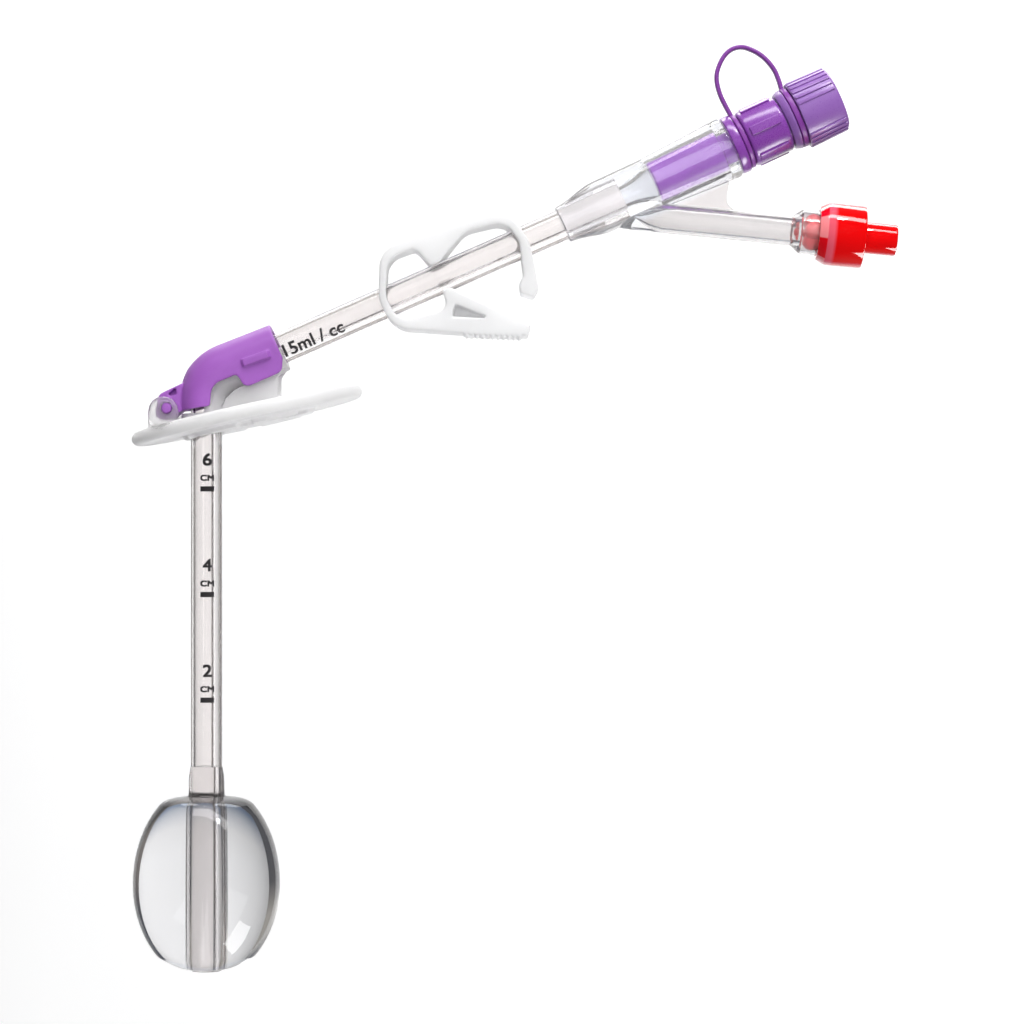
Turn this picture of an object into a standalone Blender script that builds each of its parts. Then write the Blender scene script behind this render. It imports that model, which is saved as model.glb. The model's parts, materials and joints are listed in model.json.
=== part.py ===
# Balloon gastrostomy tube, 18 Fr: a silicone feeding tube with a water-filled balloon at its tip,
# an outer bolster whose hinged elbow holds the tube bent over, a pinch clamp, and a Y-shaped end
# with a capped feeding port and a balloon valve.
#
# Everything is modelled lying flat: U runs to the right, V up along the shaft, W towards the eye.
# The balloon's centre is the origin. An empty then turns the whole tube to the way it rests.

import math

import bmesh
import bpy
from mathutils import Matrix, Vector

MM = 0.001

# Fits
GAP = 0.3 * MM
SNUG_GAP = 0.24 * MM
RUNNING_GAP = 0.15 * MM
PIN_GAP = 0.1 * MM
SOFT_EDGE = 0.3 * MM
OVERCUT = 1.0 * MM

# Feeding tube
TUBE_RADIUS = 3.0 * MM
TUBE_TIP_V = -16.6 * MM
BEND_CORNER_V = 96.0 * MM
BEND_RADIUS = 7.0 * MM
SLANT = math.radians(23.7)
TUBE_SLANT_LENGTH = 86.8 * MM
FEED_LUMEN_RADIUS = 1.85 * MM
FEED_LUMEN_OFFSET = 0.55 * MM
BALLOON_LUMEN_RADIUS = 0.42 * MM
BALLOON_LUMEN_OFFSET = -2.05 * MM
BALLOON_PORT_V = 5.9 * MM
BALLOON_PORT_RADIUS = 0.5 * MM

# Balloon
BALLOON_RADIUS = 14.05 * MM
BALLOON_TOP_SEMI_AXIS = 19.6 * MM
BALLOON_BOTTOM_SEMI_AXIS = 18.5 * MM
BALLOON_TOP_V = 16.4 * MM
BALLOON_BOTTOM_V = -16.3 * MM
BALLOON_WALL = 0.5 * MM
CUFF_WALL = 0.35 * MM
CUFF_END_WALL = 0.15 * MM
CUFF_LENGTH = 6.0 * MM
CUFF_FILLET = 1.0 * MM
TIP_CUFF_LENGTH = 3.0 * MM

# Bolster
DISC_LENGTH = 45.0 * MM
DISC_DEPTH = 38.0 * MM
DISC_THICKNESS = 2.6 * MM
DISC_DISH = 0.6 * MM
DISC_DISH_REACH = 0.7
DISC_TILT = math.radians(12.5)
DISC_CENTRE_U = 7.5 * MM
DISC_DROP = 5.3 * MM
SKIN_PAD_RADIUS = 12.6 * MM
SKIN_PAD_HEIGHT = 0.9 * MM
AIR_CHANNEL_WIDTH = 3.0 * MM
AIR_CHANNEL_COUNT = 6
AIR_CHANNEL_DEPTH = 0.72 * MM
TROUGH_WALL = 1.2 * MM
TROUGH_END = 15.6 * MM
SLEEVE_RADIUS = 4.8 * MM
SLEEVE_DROP = 6.2 * MM
GUSSET_WALL = 1.1 * MM
GUSSET_REACH = 14.0 * MM
GUSSET_HEIGHT = 4.6 * MM
GUSSET_ROOT_FILLET = 3.2 * MM

# Hinge of the elbow cover
HINGE_U = -7.2 * MM
HINGE_RISE = 3.26 * MM
HINGE_PIN_RADIUS = 0.95 * MM
EAR_RADIUS = 2.85 * MM
EAR_SHIFT = 0.6 * MM
EAR_THICKNESS = 1.3 * MM
ARM_WIDTH = 5.8 * MM
KNUCKLE_RADIUS = 2.1 * MM

# Elbow cover
COVER_SIDE_WALL = 1.1 * MM
COVER_CROWN_WALL = 1.5 * MM
COVER_CROWN_AT_FOOT = 4.9 * MM
COVER_CROWN_AT_BEND = 5.6 * MM
COVER_CROWN_AT_END = 5.0 * MM
COVER_END = 15.4 * MM
COVER_FOOT_DROP = 5.8 * MM
COVER_TAB_DROP = 4.5 * MM
COVER_TAB_START = 6.6 * MM
LATCH_RIB_START = 8.0 * MM
LATCH_RIB_END = 13.4 * MM
LATCH_RIB_HEIGHT = 1.6 * MM
LATCH_RIB_RELIEF = 0.7 * MM

# Pinch clamp
CLAMP_PLACE = 0.6
CLAMP_LENGTH = 30.7 * MM
CLAMP_DEPTH = 10.4 * MM
CLAMP_HOLE_GAP = 0.35 * MM
CLAMP_TOOTH_COUNT = 11
CLAMP_RECESS_DEPTH = 3.4 * MM

# Y-hub, measured from its slim end along the connector's axis
TUBE_SEAT_DEPTH = 12.5 * MM
HUB_ANGLE = math.radians(24.9)
HUB_END = 35.3 * MM
HUB_SLIM_RADIUS = 3.6 * MM
HUB_WAIST_RADIUS = 5.1 * MM
HUB_END_RADIUS = 6.0 * MM
HUB_FLARE_LENGTH = 8.5 * MM
HUB_WAIST_END = 18.3 * MM
HUB_PASSAGE_RADIUS = 1.9 * MM
HUB_BAND_LENGTH = 1.2 * MM
HUB_SIDES = 26
WEB_THICKNESS = 1.6 * MM
WEB_END = 30.0 * MM

# Balloon branch, measured from where its axis leaves the hub's
BRANCH_ROOT = 6.4 * MM
BRANCH_ANGLE = math.radians(-5.6)
BRANCH_RADIUS = 2.87 * MM
BRANCH_LENGTH = 38.2 * MM
BRANCH_BORE_RADIUS = 1.1 * MM
BRANCH_DUCT_START = 8.0 * MM
BRANCH_SIDES = 24
SOCKET_RADIUS = 4.25 * MM
SOCKET_WALL = 0.55 * MM
SOCKET_FLARE = 1.6 * MM
SOCKET_LENGTH = 5.3 * MM

# Feeding port
BARREL_START = 19.2 * MM
BARREL_END = 33.2 * MM
BARREL_RADIUS = 3.9 * MM
PORT_BORE_RADIUS = 1.45 * MM
PORT_NECK_RADIUS = 3.0 * MM
FLANGE_RADIUS = 5.75 * MM
FLANGE_THICKNESS = 1.8 * MM
TETHER_NECK_RADIUS = 4.3 * MM
TETHER_RING_WIDTH = 0.9 * MM
COLLAR_RADIUS = 5.5 * MM
COLLAR_LENGTH = 7.8 * MM
COLLAR_WALL = 0.8 * MM
COLLAR_FLOOR = 1.5 * MM
COLLAR_BEVEL = 0.5 * MM
PORT_TIP_RADIUS = 2.8 * MM
PORT_TIP_END_RADIUS = 2.65 * MM
PORT_TIP_RECESS = 0.5 * MM
PAD_COUNT = 5
PAD_LENGTH = 6.0 * MM
PAD_HALF_ANGLE = math.radians(9.0)
PAD_HEIGHT = 0.35 * MM
PAD_START_ANGLE = math.radians(82.0)

# Port cap
CAP_FLANGE_RADIUS = 5.95 * MM
CAP_FLANGE_LENGTH = 1.8 * MM
CAP_NECK_RADIUS = 4.7 * MM
CAP_RING_WIDTH = 1.1 * MM
CAP_HEAD_RADIUS = 6.4 * MM
CAP_HEAD_END_RADIUS = 6.2 * MM
CAP_HEAD_LENGTH = 7.8 * MM
CAP_RIB_GROUPS = 3
CAP_RIBS_PER_GROUP = 7
CAP_RIB_STEP = math.radians(9.5)
CAP_RIB_HEIGHT = 0.28 * MM
CAP_RIB_START_ANGLE = math.radians(90.0)

# Tether
RING_WALL = 0.8 * MM
CAP_RING_WALL = 1.0 * MM
STRAP_THICKNESS = 0.86 * MM
STRAP_WIDTH = 1.7 * MM
STRAP_RISE = 13.9 * MM
STRAP_LEAN = 2.4 * MM

# Balloon valve, measured from the branch's root like the socket
VALVE_RADIUS = 5.95 * MM
VALVE_REAR_RADIUS = 4.6 * MM
VALVE_CHAMFER = 2.0 * MM
VALVE_BODY_LENGTH = 8.7 * MM
INLET_RADIUS = 3.0 * MM
INLET_LENGTH = 5.8 * MM
INLET_MOUTH_RADIUS = 2.1 * MM
INLET_BORE_RADIUS = 2.0 * MM
CHAMBER_RADIUS = 3.3 * MM
CHAMBER_FLOOR = 1.4 * MM
SHOULDER_WALL = 1.2 * MM
RETAINER_STEM_RADIUS = 2.35 * MM
RETAINER_LENGTH = 3.0 * MM
RETAINER_HOLE_RADIUS = 0.8 * MM
RETAINER_NOSE = 0.9 * MM
LOBE_COUNT = 6
LOBE_DEPTH = 0.5 * MM
PLUNGER_HEAD_RADIUS = 2.8 * MM
PLUNGER_HEAD_THICKNESS = 1.0 * MM
PLUNGER_STEM_RADIUS = 1.3 * MM
PLUNGER_RECESS = 2.8 * MM
PLUNGER_GUIDE_RADIUS = 0.9 * MM
PLUNGER_TRAVEL = 1.5 * MM
SEAL_THICKNESS = 0.5 * MM
SEAL_RADIUS = 2.7 * MM
SPRING_RADIUS = 1.85 * MM
SPRING_WIRE_RADIUS = 0.18 * MM
SPRING_TURNS = 4
SPRING_STEPS_PER_TURN = 10
SPRING_WIRE_SIDES = 5

# Sizes that follow from those above
BEND_TANGENT = BEND_RADIUS * math.tan((math.pi / 2 - SLANT) / 2)
BEND_START_V = BEND_CORNER_V - BEND_TANGENT
BEND_ANGLE = math.pi / 2 - SLANT
BEND_LENGTH = BEND_RADIUS * BEND_ANGLE
DISC_CENTRE_V = BEND_CORNER_V - DISC_DROP
SLEEVE_TOP_V = BEND_CORNER_V - SLEEVE_DROP
HINGE_V = DISC_CENTRE_V + (HINGE_U - DISC_CENTRE_U) * math.tan(DISC_TILT) + HINGE_RISE
COVER_FOOT_V = BEND_CORNER_V - COVER_FOOT_DROP
CLAMP_CENTRE = CLAMP_PLACE * TUBE_SLANT_LENGTH
HUB_START = TUBE_SLANT_LENGTH - TUBE_SEAT_DEPTH
SOCKET_END = BRANCH_LENGTH + SOCKET_LENGTH
TROUGH_INNER = TUBE_RADIUS + GAP
TROUGH_OUTER = TROUGH_INNER + TROUGH_WALL
COVER_INNER_SIDE = TROUGH_OUTER + GAP
COVER_OUTER_SIDE = COVER_INNER_SIDE + COVER_SIDE_WALL
EAR_INNER = ARM_WIDTH / 2 + GAP
EAR_OUTER = EAR_INNER + EAR_THICKNESS
NECK_END = HUB_END + GAP
FLANGE_END = NECK_END + FLANGE_THICKNESS
COLLAR_START = FLANGE_END + TETHER_RING_WIDTH + 2 * RUNNING_GAP
COLLAR_END = COLLAR_START + COLLAR_LENGTH
PORT_TIP_END = COLLAR_END - PORT_TIP_RECESS
CAP_START = COLLAR_END + GAP
CAP_FLANGE_END = CAP_START + CAP_FLANGE_LENGTH
CAP_HEAD_START = CAP_FLANGE_END + CAP_RING_WIDTH + 2 * RUNNING_GAP
CAP_HEAD_END = CAP_HEAD_START + CAP_HEAD_LENGTH
VALVE_START = SOCKET_END + GAP
VALVE_SHOULDER = VALVE_START + VALVE_BODY_LENGTH
VALVE_END = VALVE_SHOULDER + INLET_LENGTH
CHAMBER_START = VALVE_START + CHAMBER_FLOOR
CHAMBER_END = VALVE_SHOULDER - SHOULDER_WALL
SEAL_END = CHAMBER_END - GAP
SEAL_START = SEAL_END - SEAL_THICKNESS
HEAD_END = SEAL_START - GAP
HEAD_START = HEAD_END - PLUNGER_HEAD_THICKNESS
RETAINER_END = CHAMBER_START - GAP / 2


def clear_scene():
    for existing in list(bpy.data.objects):
        bpy.data.objects.remove(existing, do_unlink=True)


def material(name, colour, roughness, alpha=1.0):
    made = bpy.data.materials.new(name)
    made.use_nodes = True
    shader = made.node_tree.nodes["Principled BSDF"]
    shader.inputs["Base Color"].default_value = (*colour, 1.0)
    shader.inputs["Roughness"].default_value = roughness
    shader.inputs["Metallic"].default_value = 0.0
    shader.inputs["Alpha"].default_value = alpha
    return made


def add_object(name, mesh_builder, surface):
    """One object from a finished bmesh, shaded smooth up to a crease of 35 degrees."""
    mesh_builder.normal_update()
    bmesh.ops.recalc_face_normals(mesh_builder, faces=mesh_builder.faces)
    mesh = bpy.data.meshes.new(name)
    mesh_builder.to_mesh(mesh)
    mesh_builder.free()
    mesh.shade_smooth()
    mesh.set_sharp_from_angle(angle=math.radians(35))
    made = bpy.data.objects.new(name, mesh)
    bpy.context.scene.collection.objects.link(made)
    made.data.materials.append(surface)
    return made


def combine(target, tool, operation):
    """Joins, cuts or intersects target with tool, and removes tool."""
    step = target.modifiers.new(operation, "BOOLEAN")
    step.operation = operation
    step.solver = "EXACT"
    step.object = tool
    graph = bpy.context.evaluated_depsgraph_get()
    result = bpy.data.meshes.new_from_object(target.evaluated_get(graph))
    target.modifiers.clear()
    target.data = result
    target.data.shade_smooth()
    target.data.set_sharp_from_angle(angle=math.radians(35))
    bpy.data.objects.remove(tool, do_unlink=True)


def along(start, angle):
    """Places a lathe's axis, its Z, at a point (u, v), pointing at an angle from +U."""
    turn = Matrix.Rotation(angle - math.pi / 2, 4, "Z") @ Matrix.Rotation(-math.pi / 2, 4, "X")
    return Matrix.Translation((start[0], start[1], 0)) @ turn


def even_angles(count, turned=0.0):
    return [turned + 2 * math.pi * index / count for index in range(count)]


def lathe(name, profile, surface, angles, raised=None):
    """Turns a closed profile of (radius, height) points, with raised(index, angle) added to a radius."""
    builder = bmesh.new()
    rings = []
    for index, (radius, height) in enumerate(profile):
        if radius == 0:
            rings.append([builder.verts.new((0, 0, height))] * len(angles))
            continue
        ring = []
        for angle in angles:
            reach = radius + (raised(index, angle) if raised else 0)
            ring.append(builder.verts.new((reach * math.cos(angle), reach * math.sin(angle), height)))
        rings.append(ring)
    for low, high in zip(rings, rings[1:] + rings[:1]):
        for side in range(len(angles)):
            after = (side + 1) % len(angles)
            corners = []
            for corner in (low[side], low[after], high[after], high[side]):
                if corner not in corners:
                    corners.append(corner)
            if len(corners) > 2:
                builder.faces.new(corners)
    return add_object(name, builder, surface)


def station(distance):
    """Centre and direction of the tube at a distance along it from the start of its bend."""
    if distance < 0:
        return Vector((0, BEND_START_V + distance, 0)), math.pi / 2
    if distance < BEND_LENGTH:
        turned = distance / BEND_RADIUS
        centre = (BEND_RADIUS * (1 - math.cos(turned)), BEND_START_V + BEND_RADIUS * math.sin(turned), 0)
        return Vector(centre), math.pi / 2 - turned
    return slant_point(distance - BEND_LENGTH + BEND_TANGENT), SLANT


def slant_point(reach, across=0.0):
    """A point on the slanted run, by its distance from the bend's corner and across the tube."""
    forward = Vector((math.cos(SLANT), math.sin(SLANT), 0))
    upward = Vector((-math.sin(SLANT), math.cos(SLANT), 0))
    return Vector((0, BEND_CORNER_V, 0)) + forward * reach + upward * across


def slant_distance(reach):
    return BEND_LENGTH + reach - BEND_TANGENT


def bend_stations(start, end, steps):
    """Distances from start to end, close together in the bend and only at the ends elsewhere."""
    inside = [BEND_LENGTH * index / steps for index in range(steps + 1)]
    return [start] + [d for d in inside if start < d < end] + [end]


def sweep(name, places, rings_at, surface):
    """Carries rings of (across, w) points along (centre, angle) places; inner rings are holes."""
    builder = bmesh.new()
    rows = []
    for index, (centre, angle) in enumerate(places):
        outward = Vector((-math.sin(angle), math.cos(angle), 0))
        row = []
        for ring in rings_at(index):
            row.append([builder.verts.new(centre + outward * p + Vector((0, 0, w))) for p, w in ring])
        rows.append(row)
    for row, following in zip(rows, rows[1:]):
        for ring, next_ring in zip(row, following):
            for side in range(len(ring)):
                after = (side + 1) % len(ring)
                builder.faces.new((ring[side], ring[after], next_ring[after], next_ring[side]))
    for row in (rows[0], rows[-1]):
        edges = []
        for ring in row:
            for side in range(len(ring)):
                edges.append(builder.edges.get((ring[side], ring[(side + 1) % len(ring)])))
        bmesh.ops.triangle_fill(builder, edges=edges, use_beauty=True, use_dissolve=False)
    return add_object(name, builder, surface)


def circle(radius, steps, across=0.0, turned=0.0):
    return [(across + radius * math.cos(a), radius * math.sin(a)) for a in even_angles(steps, turned)]


def rounded_outline(corners, steps=4):
    """A closed outline from (x, y, radius) corners, each rounded by an arc that fits its sides."""
    outline = []
    for index, (x, y, radius) in enumerate(corners):
        here = Vector((x, y))
        back = Vector(corners[index - 1][:2]) - here
        ahead = Vector(corners[(index + 1) % len(corners)][:2]) - here
        opening = back.angle(ahead)
        if radius == 0 or opening > math.radians(178):
            outline.append((x, y))
            continue
        cut = min(radius / math.tan(opening / 2), 0.49 * back.length, 0.49 * ahead.length)
        fitted = cut * math.tan(opening / 2)
        inward = (back.normalized() + ahead.normalized()).normalized()
        middle = here + inward * (fitted / math.sin(opening / 2))
        first = here + back.normalized() * cut - middle
        last = here + ahead.normalized() * cut - middle
        sweep_angle = first.angle_signed(last)
        for step in range(steps + 1):
            turned = first.copy()
            turned.rotate(Matrix.Rotation(-sweep_angle * step / steps, 2))
            outline.append(tuple(middle + turned))
    return outline


def prism(name, outline, low, high, surface):
    """Extrudes an outline in the plane from w = low to w = high."""
    builder = bmesh.new()
    floor = builder.faces.new([builder.verts.new((x, y, low)) for x, y in outline])
    grown = bmesh.ops.extrude_face_region(builder, geom=[floor])
    top = [item for item in grown["geom"] if isinstance(item, bmesh.types.BMVert)]
    bmesh.ops.translate(builder, verts=top, vec=(0, 0, high - low))
    return add_object(name, builder, surface)


def box(name, size, place, surface):
    builder = bmesh.new()
    bmesh.ops.create_cube(builder, size=1.0)
    bmesh.ops.scale(builder, vec=size, verts=builder.verts)
    builder.transform(place)
    return add_object(name, builder, surface)


def cylinder(name, radius, low, high, place, surface, steps=24):
    builder = bmesh.new()
    bmesh.ops.create_cone(
        builder, cap_ends=True, segments=steps, radius1=radius, radius2=radius, depth=high - low
    )
    builder.transform(place @ Matrix.Translation((0, 0, (low + high) / 2)))
    return add_object(name, builder, surface)


def place_mesh(made, matrix):
    made.data.transform(matrix)


def set_origin(made, point):
    """Moves an object's own origin to a point and leaves its shape where it is."""
    made.data.transform(Matrix.Translation(-Vector(point)))
    made.location = point


def build_feeding_tube(surface):
    start = TUBE_TIP_V - BEND_START_V
    end = slant_distance(TUBE_SLANT_LENGTH)
    places = [station(d) for d in bend_stations(start, end, 10)]
    rings = [
        circle(TUBE_RADIUS, 20),
        circle(FEED_LUMEN_RADIUS, 12, FEED_LUMEN_OFFSET),
        circle(BALLOON_LUMEN_RADIUS, 8, BALLOON_LUMEN_OFFSET),
    ]
    tube = sweep("feeding_tube", places, lambda index: rings, surface)
    place = Matrix.Translation((0, BALLOON_PORT_V, 0)) @ Matrix.Rotation(math.pi / 2, 4, "Y")
    reach = TUBE_RADIUS + OVERCUT
    port = cylinder("port", BALLOON_PORT_RADIUS, -BALLOON_LUMEN_OFFSET, reach, place, surface, 10)
    combine(tube, port, "DIFFERENCE")
    return tube


def balloon_radius(v, inset=0.0):
    semi = BALLOON_TOP_SEMI_AXIS if v > 0 else BALLOON_BOTTOM_SEMI_AXIS
    return BALLOON_RADIUS * math.sqrt(1 - (v / semi) ** 2) - inset


def balloon_curve(low, high, inset, steps):
    """Points of the balloon's side from its low end up, closer together near the ends."""
    middle = (low + high) / 2
    half = (high - low) / 2
    points = []
    for index in range(steps + 1):
        v = middle - half * math.cos(math.pi * index / steps)
        points.append((balloon_radius(v, inset), v))
    return points


def build_balloon(surface):
    inner = TUBE_RADIUS + SNUG_GAP
    cuff = inner + CUFF_WALL
    low = BALLOON_BOTTOM_V + BALLOON_WALL
    high = BALLOON_TOP_V - BALLOON_WALL
    cuff_top = BALLOON_TOP_V + CUFF_LENGTH
    profile = balloon_curve(BALLOON_BOTTOM_V, BALLOON_TOP_V, 0, 12)
    profile += [(cuff + CUFF_FILLET, BALLOON_TOP_V + 0.3 * CUFF_FILLET), (cuff, BALLOON_TOP_V + CUFF_FILLET)]
    profile += [(inner + CUFF_END_WALL, cuff_top), (inner, cuff_top), (inner, high)]
    profile += balloon_curve(low, high, BALLOON_WALL, 8)[::-1]
    profile += [(cuff, low), (cuff, low + TIP_CUFF_LENGTH), (inner, low + TIP_CUFF_LENGTH)]
    profile += [(inner, BALLOON_BOTTOM_V)]
    balloon = lathe("balloon", profile, surface, even_angles(30))
    place_mesh(balloon, along((0, 0), math.pi / 2))
    return balloon


def build_balloon_water(surface):
    skin = BALLOON_WALL + GAP
    low = BALLOON_BOTTOM_V + skin
    high = BALLOON_TOP_V - skin
    inner = TUBE_RADIUS + GAP
    cuff = TUBE_RADIUS + SNUG_GAP + CUFF_WALL + GAP
    above_cuff = BALLOON_BOTTOM_V + BALLOON_WALL + TIP_CUFF_LENGTH + GAP
    profile = balloon_curve(low, high, skin, 10)
    profile += [(inner, high), (inner, above_cuff), (cuff, above_cuff), (cuff, low)]
    water = lathe("balloon_water", profile, surface, even_angles(24))
    place_mesh(water, along((0, 0), math.pi / 2))
    return water


def disc_place():
    """The disc's own frame: X along its length, Y into its depth, Z up away from the skin."""
    turn = Matrix.Rotation(DISC_TILT, 4, "Z") @ Matrix.Rotation(-math.pi / 2, 4, "X")
    return Matrix.Translation((DISC_CENTRE_U, DISC_CENTRE_V, 0)) @ turn


def build_disc(surface):
    half = DISC_LENGTH / 2
    edge = DISC_THICKNESS / 2
    profile = [(0, -DISC_DISH)]
    for share in (0.5, 1.0):
        fall = math.cos(share * DISC_DISH_REACH * math.pi / 2)
        profile.append((half * share * DISC_DISH_REACH, -DISC_DISH * fall))
    for step in range(7):
        turned = math.pi / 2 - math.pi * step / 6
        profile.append((half - edge + edge * math.cos(turned), -edge + edge * math.sin(turned)))
    pad_floor = -DISC_THICKNESS - SKIN_PAD_HEIGHT
    profile += [(SKIN_PAD_RADIUS + SOFT_EDGE, -DISC_THICKNESS), (SKIN_PAD_RADIUS, pad_floor), (0, pad_floor)]
    disc = lathe("bolster", profile, surface, even_angles(42))
    for index in range(AIR_CHANNEL_COUNT):
        turn = Matrix.Rotation(2 * math.pi * (index + 0.5) / AIR_CHANNEL_COUNT, 4, "Z")
        reach = Matrix.Translation((SKIN_PAD_RADIUS, 0, pad_floor))
        size = (SKIN_PAD_RADIUS, AIR_CHANNEL_WIDTH, 2 * AIR_CHANNEL_DEPTH)
        combine(disc, box("channel", size, turn @ reach, surface), "DIFFERENCE")
    disc.data.transform(Matrix.Diagonal((1, DISC_DEPTH / DISC_LENGTH, 1, 1)))
    place_mesh(disc, disc_place())
    return disc


def disc_top_v(u):
    """Height of the disc's flat upper plane at a place along it."""
    return DISC_CENTRE_V + (u - DISC_CENTRE_U) * math.tan(DISC_TILT)


def build_trough(surface):
    """The half-round bed under the tube, still solid: the tube's passage is cut afterwards."""
    ring = [
        (-TROUGH_OUTER * math.sin(math.pi * index / 12), -TROUGH_OUTER * math.cos(math.pi * index / 12))
        for index in range(13)
    ]
    start = disc_top_v(0) - DISC_THICKNESS / 3 - BEND_START_V
    places = [station(d) for d in bend_stations(start, slant_distance(TROUGH_END), 8)]
    return sweep("trough", places, lambda index: [ring], surface)


def build_gusset(surface, near):
    """One of the two thin walls that carry the trough on the disc."""
    outer = TROUGH_OUTER - RUNNING_GAP
    inner = outer - GUSSET_WALL
    foot = TROUGH_INNER + TROUGH_WALL / 2
    rise = slant_point(BEND_TANGENT, -foot)
    top = slant_point(TROUGH_END - TROUGH_WALL / 2, -foot)
    root = GUSSET_REACH + GUSSET_ROOT_FILLET
    corners = [
        (foot * 0.7, disc_top_v(foot) - DISC_THICKNESS / 2, 0),
        (foot, BEND_START_V + 1.0 * MM, 3.0 * MM),
        (rise.x, rise.y, 0),
        (top.x, top.y, 0),
        (GUSSET_REACH, disc_top_v(GUSSET_REACH) + GUSSET_HEIGHT, 2.0 * MM),
        (GUSSET_REACH, disc_top_v(GUSSET_REACH) + RUNNING_GAP, 2.4 * MM),
        (root, disc_top_v(root) - 0.5 * MM, 0),
        (GUSSET_REACH, disc_top_v(GUSSET_REACH) - DISC_THICKNESS / 2, 0),
    ]
    low, high = (inner, outer) if near else (-outer, -inner)
    return prism("gusset", rounded_outline(corners), low, high, surface)


def build_ear(surface, near):
    centre_u = HINGE_U - EAR_SHIFT
    centre_v = HINGE_V - EAR_SHIFT
    foot = disc_top_v(centre_u) - DISC_THICKNESS / 2
    outline = [(centre_u + EAR_RADIUS, foot)]
    for step in range(13):
        turned = math.pi * step / 12
        outline.append((centre_u + EAR_RADIUS * math.cos(turned), centre_v + EAR_RADIUS * math.sin(turned)))
    outline.append((centre_u - EAR_RADIUS, foot - 2 * EAR_RADIUS * math.tan(DISC_TILT)))
    low, high = (EAR_INNER, EAR_OUTER) if near else (-EAR_OUTER, -EAR_INNER)
    return prism("ear", outline, low, high, surface)


def build_bolster(surface):
    bolster = build_disc(surface)
    sleeve_foot = disc_top_v(0) - DISC_THICKNESS / 2
    sleeve = cylinder(
        "sleeve", SLEEVE_RADIUS, sleeve_foot, SLEEVE_TOP_V, along((0, 0), math.pi / 2), surface, 28
    )
    combine(bolster, sleeve, "UNION")
    combine(bolster, build_trough(surface), "UNION")
    for near in (True, False):
        combine(bolster, build_gusset(surface, near), "UNION")
        combine(bolster, build_ear(surface, near), "UNION")
    places = [station(d) for d in bend_stations(-20 * MM, slant_distance(TROUGH_END + 5 * MM), 8)]
    passage_ring = circle(TROUGH_INNER, 20, turned=math.pi / 20)
    passage = sweep("passage", places, lambda index: [passage_ring], surface)
    combine(bolster, passage, "DIFFERENCE")
    hinge = Matrix.Translation((HINGE_U, HINGE_V, 0))
    hole = cylinder("hole", HINGE_PIN_RADIUS + PIN_GAP, -2 * EAR_OUTER, 2 * EAR_OUTER, hinge, surface)
    combine(bolster, hole, "DIFFERENCE")
    return bolster


def cover_crown(distance):
    """Height of the cover's crown over the tube's axis: slim at the foot, full over the bend."""
    if distance < BEND_LENGTH / 2:
        share = max(0.0, min(1.0, (distance + 1.5 * MM) / (BEND_LENGTH / 2 + 1.5 * MM)))
        return COVER_CROWN_AT_FOOT + (COVER_CROWN_AT_BEND - COVER_CROWN_AT_FOOT) * share
    share = (distance - BEND_LENGTH / 2) / (slant_distance(COVER_END) - BEND_LENGTH / 2)
    return COVER_CROWN_AT_BEND + (COVER_CROWN_AT_END - COVER_CROWN_AT_BEND) * min(1.0, share)


def cover_ring(crown, side, legs, steps):
    """Half of an ellipse over the tube, closed off by two straight legs."""
    ring = [(-legs, side)]
    for index in range(steps + 1):
        turned = math.pi * index / steps
        ring.append((crown * math.sin(turned), side * math.cos(turned)))
    ring.append((-legs, -side))
    return ring


def build_elbow_cover(surface):
    legs = COVER_TAB_DROP + 0.6 * MM
    start = COVER_FOOT_V - 1.5 * MM - BEND_START_V
    distances = bend_stations(start, slant_distance(COVER_END), 10)
    straight = distances[-1]
    distances = distances[:-1] + [BEND_LENGTH + 0.5 * (straight - BEND_LENGTH), straight]
    places = [station(d) for d in distances]

    def section(index):
        crown = cover_crown(distances[index])
        outer = cover_ring(crown, COVER_OUTER_SIDE, legs, 12)
        inner = cover_ring(crown - COVER_CROWN_WALL, COVER_INNER_SIDE, legs, 10)
        return [outer + inner[::-1]]

    cover = sweep("elbow_cover", places, section, surface)
    tab_corner = slant_point(COVER_END - 1.2 * MM, -COVER_TAB_DROP)
    tab_end = slant_point(COVER_END, -COVER_TAB_DROP * 0.5)
    tab_start = slant_point(COVER_TAB_START, -COVER_TAB_DROP)
    notch = slant_point(COVER_TAB_START - 0.4 * MM, -COVER_TAB_DROP / 3)
    beyond = slant_point(COVER_END + 4 * MM, 9 * MM)
    edge = [
        (-9.0 * MM, COVER_FOOT_V - 0.6 * MM, 0),
        (-4.9 * MM, COVER_FOOT_V, 0),
        (1.2 * MM, COVER_FOOT_V + 0.9 * MM, 0.7 * MM),
        (1.5 * MM, COVER_FOOT_V + 4.9 * MM, 2.6 * MM),
        (notch.x, notch.y, 0.8 * MM),
        (tab_start.x, tab_start.y, 1.0 * MM),
        (tab_corner.x, tab_corner.y, 1.0 * MM),
        (tab_end.x, tab_end.y, 0.5 * MM),
        (beyond.x, beyond.y - 6 * MM, 0),
        (beyond.x, beyond.y, 0),
        (-9.0 * MM, beyond.y, 0),
    ]
    keep = prism("keep", rounded_outline(edge, 5), -9 * MM, 9 * MM, surface)
    combine(cover, keep, "INTERSECT")
    combine(cover, build_hinge_arm(surface), "UNION")
    hinge = Matrix.Translation((HINGE_U, HINGE_V, 0))
    combine(cover, cylinder("pin", HINGE_PIN_RADIUS, -EAR_OUTER, EAR_OUTER, hinge, surface), "UNION")
    for side in (1, -1):
        combine(cover, build_latch_rib(surface, side), "UNION")
    set_origin(cover, (HINGE_U, HINGE_V, 0))
    return cover


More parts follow.
